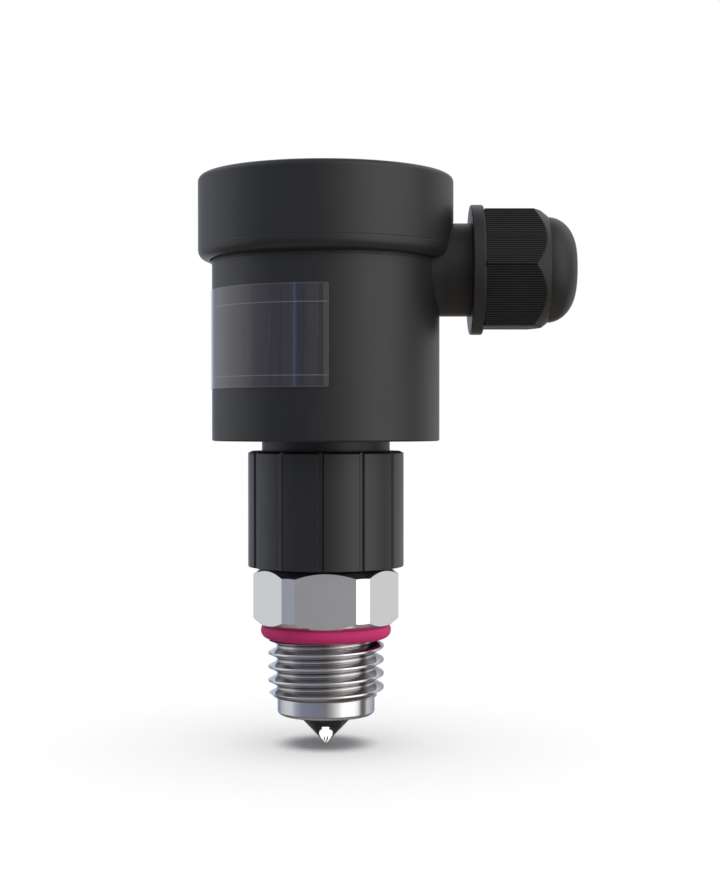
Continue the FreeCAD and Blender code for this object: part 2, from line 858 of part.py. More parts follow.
def dome_shape():
    """The rounded front of the dome nut, with a quarter ellipse for its edge."""
    end_radius = dome_end_diameter / 2
    centre = Vector(end_radius, 0, dome_bulge_start)
    outermost = Vector(dome_radius, 0, dome_bulge_start)
    foremost = Vector(end_radius, 0, dome_nut_end)
    ellipse = Part.Ellipse(outermost, foremost, centre)
    start = ellipse.parameter(outermost)
    end = ellipse.parameter(foremost)
    bulge = Part.Arc(ellipse, min(start, end), max(start, end)).toShape()
    back = dome_ring_end - dome_straight_length
    base = Vector(0, 0, back)
    rim = Vector(dome_radius, 0, back)
    tip = Vector(0, 0, dome_nut_end)
    straight = [
        Part.makeLine(base, rim),
        Part.makeLine(rim, outermost),
        Part.makeLine(foremost, tip),
        Part.makeLine(tip, base),
    ]
    outline = Part.Wire(Part.__sortEdges__(straight + [bulge]))
    return Part.Face(outline).revolve(ORIGIN, UP, FULL_TURN)


def gland_nut():
    """The ribbed dome nut of the cable gland."""
    corner_radius = corner_of(dome_nut_flat_radius)
    chamfer_start = dome_nut_start + dome_nut_corner_length
    prism = polygon_prism(ribbed_hexagon_points(), dome_nut_start, dome_ring_end)
    envelope = turned(
        (0, dome_nut_start),
        (corner_radius, dome_nut_start),
        (corner_radius, chamfer_start),
        (dome_ring_radius, dome_ring_end),
        (0, dome_ring_end),
    )
    thread_bore = gland_thread_radius + running_gap
    cone_wide = finger_base_radius + loose_gap
    cone_narrow = finger_tip_radius + loose_gap
    front_wall_back = dome_nut_end - dome_front_wall
    hollow = turned(
        (0, dome_nut_start),
        (thread_bore, dome_nut_start),
        (thread_bore, finger_start + loose_gap),
        (cone_wide, finger_start + loose_gap),
        (cone_narrow, finger_end + loose_gap),
        (cone_narrow, front_wall_back),
        (dome_hole_radius, front_wall_back),
        (dome_hole_radius, dome_nut_end),
        (0, dome_nut_end),
    )
    return on_gland(joined([prism.common(envelope), dome_shape()]).cut(hollow))


def standoff_points():
    turns = [math.radians(angle) for angle in standoff_angles]
    return [(standoff_circle_radius * math.cos(t), standoff_circle_radius * math.sin(t))
            for t in turns]


def main_board():
    board = cylinder(board_radius, board_bottom, board_top)
    beyond_flat = box((board_flat_distance, board_radius), around(0, 2 * board_radius),
                      (board_bottom, board_top))
    board = board.cut(beyond_flat)
    for x, y in standoff_points():
        board = board.cut(cylinder(screw_clearance_diameter / 2, board_bottom, board_top,
                                   x, y))
    return board


def board_standoff(x, y):
    post = cylinder(standoff_diameter / 2, floor_top, board_bottom, x, y)
    hole = cylinder(standoff_thread_diameter / 2, board_bottom - standoff_thread_depth,
                    board_bottom, x, y)
    return post.cut(hole)


def board_screw(x, y):
    head_top = board_top + screw_head_height
    head = cylinder(screw_head_diameter / 2, board_top, head_top, x, y)
    shank = cylinder(screw_shank_diameter / 2, board_top - screw_shank_length, board_top,
                     x, y)
    slot = box(around(x, screw_head_diameter), around(y, screw_slot_width),
               (head_top - screw_slot_depth, head_top))
    return joined([head, shank]).cut(slot)


def lead_socket():
    outer = cylinder(socket_diameter / 2, socket_bottom, board_bottom)
    hole = cylinder(lead_plug_diameter / 2 + loose_gap, socket_bottom,
                    board_bottom - socket_end_wall)
    return outer.cut(hole)


def module(size, centre):
    block = box(around(centre[0], size[0]), around(centre[1], size[1]),
                (board_top, board_top + size[2]))
    upright = [edge for edge in block.Edges
               if abs(edge.Vertexes[0].Z - edge.Vertexes[-1].Z) > size[2] / 2]
    return block.makeChamfer(module_edge, upright)


def buffer_capacitor():
    x, y = capacitor_centre
    can = cylinder(capacitor_diameter / 2, board_top, board_top + capacitor_height, x, y)
    groove = Part.makeTorus(capacitor_diameter / 2, capacitor_groove_radius,
                            Vector(x, y, board_top + capacitor_groove_height), UP)
    return can.cut(groove)


def terminal_places():
    first = terminal_centre[1] - (terminal_count - 1) * terminal_pitch / 2
    return [first + i * terminal_pitch for i in range(terminal_count)]


def terminal_block():
    """A row of terminals, wire entries towards the gland and screws on top."""
    x = terminal_centre[0]
    top = board_top + terminal_height
    front = x + terminal_width / 2
    block = box(around(x, terminal_width),
                around(terminal_centre[1], terminal_count * terminal_pitch),
                (board_top, top))
    for y in terminal_places():
        block = block.cut(box((front - terminal_entry_depth, front),
                              around(y, terminal_entry),
                              around(board_top + terminal_entry_height, terminal_entry)))
        block = block.cut(cylinder(terminal_screw_diameter / 2 + fixed_gap,
                                   top - terminal_screw_depth, top, x, y))
    return block


def terminal_screw(y):
    x = terminal_centre[0]
    bottom = board_top + terminal_height - terminal_screw_depth
    top = bottom + terminal_screw_length
    body = cylinder(terminal_screw_diameter / 2, bottom, top, x, y)
    slot = box(around(x, terminal_screw_diameter), around(y, screw_slot_width),
               (top - screw_slot_depth, top))
    return body.cut(slot)


def all_parts():
    lamps = lamp_places()
    points = standoff_points()
    return {
        "process_fitting": process_fitting(),
        "process_o_ring": process_o_ring(),
        "prism_tip": prism_tip(),
        "prism_seal_ring": prism_seal_ring(),
        "prism_retainer": prism_retainer(),
        "optic_carrier": optic_carrier(),
        "infrared_emitter": lamp(lamps["emitter"]),
        "light_receiver": lamp(lamps["receiver"]),
        "sensor_board": sensor_board(),
        "sensor_chip": sensor_chip(),
        "signal_lead": signal_lead(),
        "lead_plug": lead_plug(),
        "lead_bushing": lead_bushing(),
        "neck_seal_ring": neck_seal_ring(),
        "thread_dust_ring": thread_dust_ring(),
        "slip_washer": slip_washer(),
        "union_nut": union_nut(),
        "neck_retaining_ring": neck_retaining_ring(),
        "housing_base": housing_base(),
        "rating_plate": rating_plate(),
        "lid": lid(),
        "lid_gasket": lid_gasket(),
        "gland_body": gland_body(),
        "gland_washer": gland_washer(),
        "gland_lock_nut": gland_lock_nut(),
        "gland_seal": gland_seal(),
        "gland_nut": gland_nut(),
        "main_board": main_board(),
        "board_standoffs": Part.Compound([board_standoff(x, y) for x, y in points]),
        "board_screws": Part.Compound([board_screw(x, y) for x, y in points]),
        "lead_socket": lead_socket(),
        "relay": module(relay_size, relay_centre),
        "power_module": module(power_size, power_centre),
        "buffer_capacitor": buffer_capacitor(),
        "terminal_block": terminal_block(),
        "terminal_screws": Part.Compound([terminal_screw(y) for y in terminal_places()]),
    }


os.makedirs("parts", exist_ok=True)
for name, shape in all_parts().items():
    if not shape.isValid():
        raise ValueError(name + " is not a valid shape")
    shape.exportStep("parts/" + name + ".step")
    print(name, len(shape.Solids), "solid(s),", round(shape.Volume, 2), "mm3")
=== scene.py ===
# %% [markdown]
# # An optical level switch, built piece by piece
# The switch screws into a tank wall with its steel thread. A small prism at the tip tells
# liquid from air, the black housing above holds the electronics, and the cable leaves
# through the gland at the side. The solids were made first, in CAD, so this script starts
# by loading them as a fixed frame. Sizes below are in millimetres, as on a drawing, and
# MM turns them into Blender's metres.

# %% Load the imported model
import bpy, bmesh, math
from mathutils import Matrix, Vector


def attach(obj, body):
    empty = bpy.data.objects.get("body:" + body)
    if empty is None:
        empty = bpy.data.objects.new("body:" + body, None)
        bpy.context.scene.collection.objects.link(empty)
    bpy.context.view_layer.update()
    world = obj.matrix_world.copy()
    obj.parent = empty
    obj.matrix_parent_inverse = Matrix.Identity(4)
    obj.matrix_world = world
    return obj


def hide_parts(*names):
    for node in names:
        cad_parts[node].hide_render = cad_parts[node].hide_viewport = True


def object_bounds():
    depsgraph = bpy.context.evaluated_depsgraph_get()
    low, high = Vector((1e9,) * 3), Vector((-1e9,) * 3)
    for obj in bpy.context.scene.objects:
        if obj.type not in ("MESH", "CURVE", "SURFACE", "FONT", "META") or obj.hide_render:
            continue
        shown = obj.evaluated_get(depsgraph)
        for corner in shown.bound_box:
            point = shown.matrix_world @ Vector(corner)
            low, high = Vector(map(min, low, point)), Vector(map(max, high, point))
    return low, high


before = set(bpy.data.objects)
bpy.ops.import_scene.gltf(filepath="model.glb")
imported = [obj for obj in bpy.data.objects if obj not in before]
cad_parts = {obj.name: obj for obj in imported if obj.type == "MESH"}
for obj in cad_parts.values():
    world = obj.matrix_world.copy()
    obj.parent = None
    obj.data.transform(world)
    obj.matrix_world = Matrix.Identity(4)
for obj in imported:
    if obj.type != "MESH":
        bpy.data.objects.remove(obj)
MM = 0.001
cad_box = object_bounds()
print("nodes:", len(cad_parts))
print("box:", [tuple(round(v / MM, 2) for v in corner) for corner in cad_box])

# %% [markdown]
# ## The camera
# The photograph is taken level with the lower part of the housing and from about 300 mm
# away, straight at the front. The axis of the switch stands a little left of the middle of
# the picture, so the camera is moved to the right and not turned. The horizon lies a little
# above the middle of the picture, which gives the small tilt down.

# %% Place the camera
focal_pixels = 1650
picture_height = 890
distance, moved_right, height_up = 298.4, 6.16, 43.6
tilt_down = 0.67
lens = bpy.data.cameras.new("front camera")
lens.lens = lens.sensor_width * focal_pixels / picture_height
lens.clip_start = 0.01
camera = bpy.data.objects.new("front camera", lens)
camera.location = (moved_right * MM, -distance * MM, height_up * MM)
camera.rotation_euler = (math.radians(90 - tilt_down), 0, 0)
bpy.context.collection.objects.link(camera)
bpy.context.scene.camera = camera
bpy.context.scene.view_settings.view_transform = "Standard"
print("lens in mm:", round(lens.lens, 2))

# %% [markdown]
# ## A small language for shaders
# A finish is a tree of nodes. Written one node at a time, even a sum takes four lines, so
# one small class wraps a node's output and lets plain arithmetic add the Math nodes. A
# second class holds the tree and makes every other kind of node with a single method.
# Numbers are worked out in Python, and only what changes over a surface becomes a node.

# %% Wrap a node's output
class Output:
    """The output of a node, so that shader maths reads as arithmetic."""

    def __init__(self, finish, socket):
        self.finish = finish
        self.socket = socket

    def maths(self, operation, *values):
        return self.finish.node("ShaderNodeMath", {"operation": operation},
                                dict(enumerate(values)))

    def __add__(self, other):
        return self.maths("ADD", self, other)

    def __radd__(self, other):
        return self.maths("ADD", other, self)

    def __sub__(self, other):
        return self.maths("SUBTRACT", self, other)

    def __rsub__(self, other):
        return self.maths("SUBTRACT", other, self)

    def __mul__(self, other):
        return self.maths("MULTIPLY", self, other)

    def __rmul__(self, other):
        return self.maths("MULTIPLY", other, self)

    def __truediv__(self, other):
        return self.maths("DIVIDE", self, other)

    def __rtruediv__(self, other):
        return self.maths("DIVIDE", other, self)

    def __pow__(self, other):
        return self.maths("POWER", self, other)

    def rising(self, low, high):
        """0 below low, 1 above high and smooth between."""
        return self.finish.node("ShaderNodeMapRange", {"interpolation_type": "SMOOTHSTEP"},
                                {0: self, 1: low, 2: high})

    def within(self, low, high, soft):
        """1 between low and high, 0 outside, over a soft edge."""
        return self.rising(low - soft, low + soft) * (1 - self.rising(high - soft, high + soft))

print("sockets add up")

# %% Hold a node tree
class Finish:
    """A material or a world being mixed from nodes."""

    def __init__(self, owner):
        owner.use_nodes = True
        owner.node_tree.nodes.clear()
        self.owner = owner
        self.tree = owner.node_tree

    def node(self, kind, settings=None, inputs=None, output=0):
        made = self.tree.nodes.new(kind)
        for key, value in (settings or {}).items():
            if key == "stops":
                self.set_stops(made.color_ramp, value)
            else:
                setattr(made, key, value)
        for key, value in (inputs or {}).items():
            if isinstance(value, Output):
                self.tree.links.new(value.socket, made.inputs[key])
            else:
                made.inputs[key].default_value = value
        return Output(self, made.outputs[output]) if made.outputs else None

    def set_stops(self, ramp, stops):
        while len(ramp.elements) < len(stops):
            ramp.elements.new(0.5)
        for element, (position, colour) in zip(ramp.elements, stops):
            element.position = position
            element.color = colour

    def coordinates(self, output="Object"):
        return self.node("ShaderNodeTexCoord", output=output)

    def split(self, vector):
        first = self.node("ShaderNodeSeparateXYZ", inputs={0: vector})
        return [Output(self, socket) for socket in first.socket.node.outputs]

    def stretched(self, vector, scale):
        return self.node("ShaderNodeVectorMath", {"operation": "MULTIPLY"},
                         {0: vector, 1: scale})

    def noise(self, size, detail=2.0, vector=None):
        vector = vector or self.coordinates()
        return self.node("ShaderNodeTexNoise", {"normalize": True},
                         {"Vector": vector, "Scale": 1 / (size * MM), "Detail": detail})

    def blend(self, share, first, second, how="MIX"):
        return self.node("ShaderNodeMix", {"data_type": "RGBA", "blend_type": how},
                         {0: share, 6: first, 7: second}, output=2)

    def bump(self, height, depth):
        return self.node("ShaderNodeBump",
                         inputs={"Height": height, "Distance": depth * MM, "Strength": 1.0})

    def surface(self, light=None, **inputs):
        """The material with these inputs, with a painted glow where one is given."""
        if light:
            inputs.update(Emission_Color=light(self), Emission_Strength=1.0)
        names = {key.replace("_", " "): value for key, value in inputs.items()}
        shader = self.node("ShaderNodeBsdfPrincipled", inputs=names)
        self.node("ShaderNodeOutputMaterial", inputs={"Surface": shader})
        return self.owner

print("finishes hold their trees")

# %% Read a colour off a screen
def tint(red, green, blue):
    """A colour in the 0 to 255 of a screen, as the linear values that nodes use."""
    def linear(level):
        level = level / 255
        return level / 12.92 if level <= 0.04045 else ((level + 0.055) / 1.055) ** 2.4
    return (linear(red), linear(green), linear(blue), 1.0)

print("mid grey is", [round(v, 3) for v in tint(128, 128, 128)])

# %% Measure how far a point is from the axis
def off_axis(x, y):
    """The distance from the switch's axis, in mm."""
    return (x * x + y * y) ** 0.5 / MM

print("3 and 4 mm give", round(off_axis(3 * MM, 4 * MM), 3))

# %% [markdown]
# ## The studio
# A darker card at the front left, a bright window at the front right, pale walls, soft
# boxes above them, a dim ceiling and a brown table below: that is what the steel and the
# black plastic mirror, and most of what the eye reads as their shape. It could be built
# from panels, but a world that changes with direction gives the same soft light with no
# edges and no noise. Straight behind the switch the world is white for every ray, so
# metal shows that background too, and the camera and clear pieces see plain white in
# every direction. Azimuth is counted from the camera, to the right.

# %% Paint the studio's world
studio_stops = (
    (-180, (1.0, 1.0, 1.0)),
    (-170, (1.15, 1.22, 1.4)),
    (-160, (0.95, 1.03, 1.25)),
    (-148, (0.4, 0.44, 0.56)),
    (-124, (0.8, 0.82, 0.87)),
    (-108, (0.9, 0.92, 0.96)),
    (-88, (0.9, 0.92, 0.98)),
    (-74, (0.48, 0.51, 0.6)),
    (-58, (0.3, 0.32, 0.4)),
    (-20, (0.26, 0.28, 0.35)),
    (0, (0.272, 0.272, 0.288)),
    (14, (0.54, 0.54, 0.54)),
    (30, (1.12, 1.11, 1.1)),
    (42, (1.85, 1.83, 1.81)),
    (68, (1.75, 1.75, 1.75)),
    (82, (1.3, 1.3, 1.3)),
    (93, (0.2, 0.19, 0.18)),
    (104, (0.2, 0.19, 0.18)),
    (116, (0.92, 0.92, 0.93)),
    (136, (0.76, 0.78, 0.82)),
    (158, (0.56, 0.6, 0.7)),
    (180, (1.0, 1.0, 1.0)),
)
box_glow = (0.42, 0.42, 0.44, 1.0)
overhead = (0.42, 0.42, 0.43, 1.0)
table_edge = (0.15, 0.128, 0.108, 1.0)
table_top = (0.46, 0.41, 0.36, 1.0)
world = bpy.data.worlds.new("studio")
bpy.context.scene.world = world
studio = Finish(world)
x, y, z = studio.split(studio.coordinates("Generated"))
azimuth = x.maths("ARCTAN2", x, y * -1.0) / math.tau + 0.5
stops = [((degrees + 180) / 360, (*colour, 1.0)) for degrees, colour in studio_stops]
around = studio.node("ShaderNodeValToRGB", {"stops": stops}, {0: azimuth})
soft_boxes = z.within(0.4, 0.78, 0.16)
walls = studio.blend(soft_boxes, around, box_glow, "ADD")
below = studio.blend(z.rising(-0.85, -0.62), table_top, table_edge)
lower = studio.blend(z.rising(-0.55, -0.26), below, walls)
all_round = studio.blend(z.rising(0.76, 0.94), lower, overhead)
rays = studio.node("ShaderNodeLightPath", output="Is Camera Ray")
clear = studio.node("ShaderNodeLightPath", output="Is Transmission Ray")
seen_white = rays.maths("MAXIMUM", rays, clear)
backdrop = studio.blend(seen_white, all_round, (1, 1, 1, 1))
light = studio.node("ShaderNodeBackground", inputs={"Color": backdrop, "Strength": 1.0})
studio.node("ShaderNodeOutputWorld", inputs={"Surface": light})
print("world stops:", len(stops))

# %% [markdown]
# ## The floor
# The switch stands on its tip on a sheet. The sheet is to look pure white but for a dark
# soft spot round the tip and a wide faint halo. A white sheet as large as the room would
# throw its white back up into the steel, which the real one doesn't show. So the sheet is
# a small grey disc whose opacity is a painted shadow: dense in the spot round the tip and
# thinning out in the halo. Where it is thin, the camera sees the white surroundings
# through it. The switch's real shadow falls on it too.

# %% Lay the sheet with its painted shadow
tip_height = cad_box[0][2]
sheet_radius = 60
sheet = Finish(bpy.data.materials.new("grey shadow sheet"))
x, y = sheet.split(sheet.coordinates())[:2]
reach = off_axis(x, y)
spot_inner, spot_outer = 4.6, 10.8
halo_reach = 17
# Painted shadow: the grey sheet is dense in a spot round the tip and thins out in a halo.
spot = 0.52 * (1 - reach.rising(spot_inner, spot_outer))
halo = 0.5 / (1 + (reach / halo_reach) ** 2.3)
painted_shadow_opacity = (spot + halo) * (1 - reach.rising(sheet_radius * 0.6, sheet_radius * 0.98))
paper = sheet.blend(sheet.noise(1.2, 3.0), (0.43, 0.43, 0.43, 1), (0.46, 0.46, 0.46, 1))
matt = sheet.node("ShaderNodeBsdfDiffuse", inputs={"Color": paper})
nothing = sheet.node("ShaderNodeBsdfTransparent")
lying = sheet.node("ShaderNodeMixShader", inputs={0: painted_shadow_opacity, 1: nothing, 2: matt})
sheet.node("ShaderNodeOutputMaterial", inputs={"Surface": lying})
bm = bmesh.new()
bmesh.ops.create_circle(bm, cap_ends=True, segments=96, radius=sheet_radius * MM)
bmesh.ops.translate(bm, verts=bm.verts, vec=(0, 0, tip_height))
floor_mesh = bpy.data.meshes.new("floor sheet")
bm.to_mesh(floor_mesh)
bm.free()
floor_mesh.materials.append(sheet.owner)
floor = bpy.data.objects.new("floor sheet", floor_mesh)
bpy.context.collection.objects.link(floor)
print("floor at", round(tip_height / MM, 2), "mm")

# %% [markdown]
# ## Finishes: moulded plastics
# The housing, the lid, the nuts and the gland are moulded in black glass-filled nylon. Up
# close such plastic isn't flat black: the mould leaves a fine grain, the glass fibres come
# near the surface in slightly paler streaks, and handling polishes it unevenly. One recipe
# mixes all the moulded parts, and each gets its own colour, gloss and grain. The carrier
# inside and the brass ring round it glow with painted light on the far side of the
# carrier's lower face. The prism's mirrors bring that place into view as a painted white
# highlight at the tip.

# %% Mix the moulded plastics
finishes = {}


def moulded(slot, colour, roughness, grain=0.22, depth=0.004, streak=1.35, gloss=0.5,
            light=None):
    """Fine mould grain, pale flow streaks and unevenly polished patches."""
    finish = Finish(bpy.data.materials.new(slot))
    pale = tuple(min(1.0, level * streak) for level in colour[:3]) + (1.0,)
    flow = finish.noise(5.0, 4.0, finish.stretched(finish.coordinates(), (1, 1, 0.25)))
    patches = finish.noise(14.0, 3.0)
    mould = finish.noise(grain, 2.0)
    specks = finish.noise(0.5, 1.0).rising(0.66, 0.8)
    base = finish.blend(flow.rising(0.35, 0.75) * 0.7 + specks * 0.25, colour, pale)
    rough = roughness - 0.06 + 0.12 * patches + 0.05 * mould
    finishes[slot] = finish.surface(light, Base_Color=base, Roughness=rough,
                                    Specular_IOR_Level=gloss,
                                    Normal=finish.bump(mould, depth))


def painted_glow(finish):
    """A painted glow on the far side of the carrier's lower end and on the ring round it."""
    rim_inner, rim_outer = 4.63, 6.5
    patch_width, patch_near, patch_far = 1.2, 3.0, 4.7
    half = patch_width / 2 * MM
    x, y, z = finish.split(finish.coordinates())
    rim = off_axis(x, y).within(rim_inner, rim_outer, 0.05) * y.rising(1.8 * MM, 2.2 * MM)
    patch = (x.within(-half, half, 0.1 * MM)
             * y.within(patch_near * MM, patch_far * MM, 0.05 * MM))
    low_down = 1 - z.rising(1.25 * MM, 1.35 * MM)
    glow_mask = rim.maths("MAXIMUM", rim, patch) * low_down
    return finish.blend(glow_mask, (0, 0, 0, 1), (1.7, 1.7, 1.7, 1))


moulded("housing_black", (0.0125, 0.0128, 0.0135, 1), 0.42)
moulded("lid_black", (0.0125, 0.0128, 0.0135, 1), 0.42)
moulded("nut_black", (0.013, 0.013, 0.0137, 1), 0.38, grain=0.3, depth=0.003)
moulded("gland_black", (0.018, 0.0176, 0.0172, 1), 0.45, grain=0.3, depth=0.003, gloss=0.36)
# The carrier glows with painted light, seen through the prism as a painted highlight.
moulded("carrier_black", (0.006, 0.006, 0.006, 1), 0.6, light=painted_glow)
moulded("chip_black", (0.012, 0.012, 0.012, 1), 0.5, grain=0.1)
moulded("module_black", (0.014, 0.014, 0.016, 1), 0.45, grain=0.25, depth=0.008)
moulded("relay_blue", tint(45, 84, 160), 0.35)
moulded("terminal_green", tint(42, 132, 62), 0.38)
moulded("white_plastic", tint(226, 226, 218), 0.45, streak=1.05)
moulded("washer_white", tint(214, 214, 206), 0.5, streak=1.05)
print("moulded:", ", ".join(finishes))

# %% [markdown]
# ## Finishes: turned and plated metal
# The fitting is stainless steel. The lathe leaves rings too fine to count on its round
# parts, and the milled hexagon shows a faint even grain instead. Both are a small bump
# that changes with height, or in every direction, and the height on the part says which
# one holds. A painted brown shade lies in the thread's roots, and a painted dark shade in
# the run-out under the ring on its right side. Brass, zinc and spring steel use the same
# recipe with their own colour.

# %% Mix the metals
hex_range = (7.25, 17.92)
chamfer_from = (11.05, 11.85)
chamfer_slope = math.tan(math.radians(40))


def worked_metal(slot, colour, roughness, rings=0.05, milled=None, depth=0.0015,
                 light=None):
    """Turning rings, a brighter milled grain on the hexagon's flats, and hazy patches."""
    finish = Finish(bpy.data.materials.new(slot))
    place = finish.coordinates()
    x, y, z = finish.split(place)
    turning = finish.noise(rings, 2.0, finish.stretched(place, (0.02, 0.02, 1)))
    grain = finish.noise(0.16, 3.0)
    haze = finish.noise(2.5, 4.0)
    dull = tuple(level * 0.86 for level in colour[:3]) + (1.0,)
    base = finish.blend(haze.rising(0.4, 0.8) * 0.6 + grain * 0.15, colour, dull)
    if milled:
        lower_face, upper_face = hex_faces(x, y)
        flat = (z / MM - lower_face).rising(0, 0.06) * (upper_face - z / MM).rising(0, 0.06)
        height = turning * (1 - flat) + grain * flat
        rough = roughness + 0.08 * (haze - 0.5) + 0.15 * flat
        base = finish.blend(flat, base, finish.blend(grain * 0.5, *milled))
        # Painted shade in the thread's roots and in the run-out under the ring.
        base = painted_root_shade(finish, x, y, z, base)
    else:
        height = turning * 0.7 + grain * 0.3
        rough = roughness + 0.1 * (haze - 0.5)
    finishes[slot] = finish.surface(light, Base_Color=base, Metallic=1.0, Roughness=rough,
                                    Specular_Tint=(0.6, 0.6, 0.62, 1),
                                    Normal=finish.bump(height, depth))


def painted_root_shade(finish, x, y, z, base):
    """Painted brown shade in the thread's roots, and painted dark shade in the run-out on the
    right.
    """
    root_shade_brown, pocket_shade_dark = (0.3, 0.25, 0.2, 1), (0.02, 0.018, 0.016, 1)
    reach = off_axis(x, y)
    # Painted shade: brown in the thread's roots.
    roots = (1 - reach.rising(9.0, 10.2)) * z.within(-5.25 * MM, 5.6 * MM, 0.1 * MM)
    # Painted shade: dark in the run-out under the ring, on the right side only.
    end = (1 - reach.rising(9.7, 10.1)) * z.within(3.7 * MM, 6.2 * MM, 0.3 * MM)
    root_shaded = finish.blend(roots * 0.34, base, root_shade_brown)
    return finish.blend(end * x.rising(7.2 * MM, 8.2 * MM) * 0.9, root_shaded, pocket_shade_dark)


def hex_faces(x, y):
    """How high the milled flats start and end, at this distance from the axis, in mm."""
    reach = off_axis(x, y)
    lower, upper = [reach - radius for radius in chamfer_from]
    return (hex_range[0] + lower.maths("MAXIMUM", lower, 0.0) * chamfer_slope,
            hex_range[1] - upper.maths("MAXIMUM", upper, 0.0) * chamfer_slope)


worked_metal("stainless", (0.62, 0.62, 0.635, 1), 0.1,
             milled=((0.77, 0.765, 0.75, 1), (0.81, 0.805, 0.79, 1)))
worked_metal("spring_steel", (0.42, 0.42, 0.44, 1), 0.3)
# The brass ring round the carrier glows with the same painted light.
worked_metal("brass", tint(205, 168, 96), 0.28, light=painted_glow)
worked_metal("zinc_screws", tint(196, 200, 208), 0.32, rings=0.1)
print("metals:", "stainless, spring_steel, brass, zinc_screws")

# %% [markdown]
# ## Finishes: rubber
# The O-ring under the hexagon is raspberry-red silicone, and the seals inside are black.
# Rubber is matt with a soft sheen, and fine dust sits on it. The dust is a pale speckle
# over a slow change of colour.

# %% Mix the rubbers
def rubber(slot, colour, roughness, dust, gloss):
    """Soft rubber with a slow change of colour and a speckle of dust."""
    finish = Finish(bpy.data.materials.new(slot))
    deep = tuple(level * 0.8 for level in colour[:3]) + (1.0,)
    slow = finish.blend(finish.noise(4.0, 2.0), deep, colour)
    speckle = finish.noise(0.12, 2.0).rising(0.6, 0.85)
    base = finish.blend(speckle * dust, slow, tint(200, 190, 190))
    skin = finish.noise(0.08, 2.0)
    rough = roughness + 0.12 * (finish.noise(1.5, 3.0) - 0.5)
    finishes[slot] = finish.surface(Base_Color=base, Roughness=rough,
                                    Specular_IOR_Level=gloss,
                                    Normal=finish.bump(skin, 0.002))


rubber("raspberry_rubber", tint(212, 58, 119), 0.62, 0.04, 0.12)
rubber("black_rubber", (0.012, 0.012, 0.012, 1), 0.6, 0.06, 0.4)
rubber("lead_grey", tint(96, 97, 99), 0.55, 0.05, 0.4)
print("rubbers: raspberry_rubber, black_rubber, lead_grey")

# %% [markdown]
# ## Finish: the rating plate
# The plate is a thin dark film with a glossy, finely brushed face. Its brush lines run up
# and down, so the pattern depends on the angle round the body and hardly on height, and
# pale bluish streaks along them are painted reflections. Two thin rules across and one
# upright divide it into plain fields, and a slightly paler band runs round its edge. One
# narrow blue streak with a dark side stands for a window's glint.

# %% Mix the plate's film
plate_radius = 20.6
plate_bottom, plate_top = 50.1, 67.8
plate_right, plate_left = 2.5, -117.5
rule_width = 0.16
upper_rule, lower_rule, upright_rule = 64.55, 52.15, -22.5


def rule_line(along, at):
    """A thin line at one place along a coordinate, in mm."""
    return along.within(at - rule_width / 2, at + rule_width / 2, rule_width / 6)


film = Finish(bpy.data.materials.new("plate_dark"))
x, y, z = film.split(film.coordinates())
arc_place = x.maths("ARCTAN2", x, y * -1.0) * plate_radius
height = z / MM
round_line = film.node("ShaderNodeCombineXYZ", inputs={0: arc_place, 1: z * 0.012, 2: 0.0})
brush = film.noise(0.45, 4.0, film.stretched(round_line, (MM, 1, 1)))
wide_brush = film.noise(2.2, 3.0, film.stretched(round_line, (MM, 1, 1)))
right_edge = math.radians(plate_right) * plate_radius
left_edge = math.radians(plate_left) * plate_radius
above = height.rising(upper_rule - 0.05, upper_rule + 0.05)
rules = (rule_line(height, upper_rule) + rule_line(height, lower_rule)
         + rule_line(arc_place, upright_rule) * above)
border = 1 - (arc_place.within(left_edge + 0.9, right_edge - 0.9, 0.1)
              * height.within(plate_bottom + 0.25, plate_top - 0.25, 0.05))
dark = film.blend(wide_brush.rising(0.3, 0.7), tint(48, 44, 46), tint(60, 58, 62))
# Painted reflections: pale bluish streaks along the brush lines.
streaked_reflection = film.blend(brush.rising(0.55, 0.8) * 0.5, dark, tint(70, 76, 98))
glint = arc_place.within(-5.15, -4.75, 0.12)
shade = arc_place.within(-4.6, -3.2, 0.2)
glinted = film.blend(glint * 0.4, streaked_reflection, tint(80, 100, 142))
shaded = film.blend(shade * 0.4, glinted, tint(30, 32, 48))
edged = film.blend(border * 0.35, shaded, tint(96, 94, 98))
ruled = film.blend(rules * 0.5, edged, tint(140, 138, 138))
gloss = 0.16 + 0.16 * brush + 0.1 * border
finishes["plate_dark"] = film.surface(Base_Color=ruled, Roughness=gloss, Coat_Weight=0.6,
                                      Coat_Roughness=0.06, Normal=film.bump(brush, 0.003))
print("plate from", plate_left, "to", plate_right, "degrees")

# %% [markdown]
# ## Finishes: glass, lamps and the small electrical parts
# The prism is clear and polished with a dark carrier behind it, so it looks nearly black
# but for the painted glow on the carrier that its mirrors bring into view. The lamps are small
# clear domes.
# The board has green lacquer with copper tracks showing through it, and the capacitor a
# shrunk sleeve with a pale stripe that marks its negative leg.

# %% Mix the clear pieces
def clear_piece(slot, colour, see_through, smoky=0.0):
    """Polished clear plastic with a trace of smear in its gloss."""
    finish = Finish(bpy.data.materials.new(slot))
    smear = finish.noise(1.4, 3.0)
    base = finish.blend(smear * 0.3, colour, tuple(c * 0.8 for c in colour[:3]) + (1.0,))
    finishes[slot] = finish.surface(Base_Color=base, Roughness=0.02 + 0.05 * smear + smoky,
                                    IOR=1.52, Transmission_Weight=see_through,
                                    Normal=finish.bump(finish.noise(0.7, 1.0), 0.0008))


clear_piece("prism", (0.82, 0.83, 0.84, 1), 1.0)
clear_piece("lamp_clear", (0.85, 0.9, 1.0, 1), 0.9)
clear_piece("receiver_dark", (0.05, 0.03, 0.07, 1), 0.5, 0.05)
print("clear: prism, lamp_clear, receiver_dark")

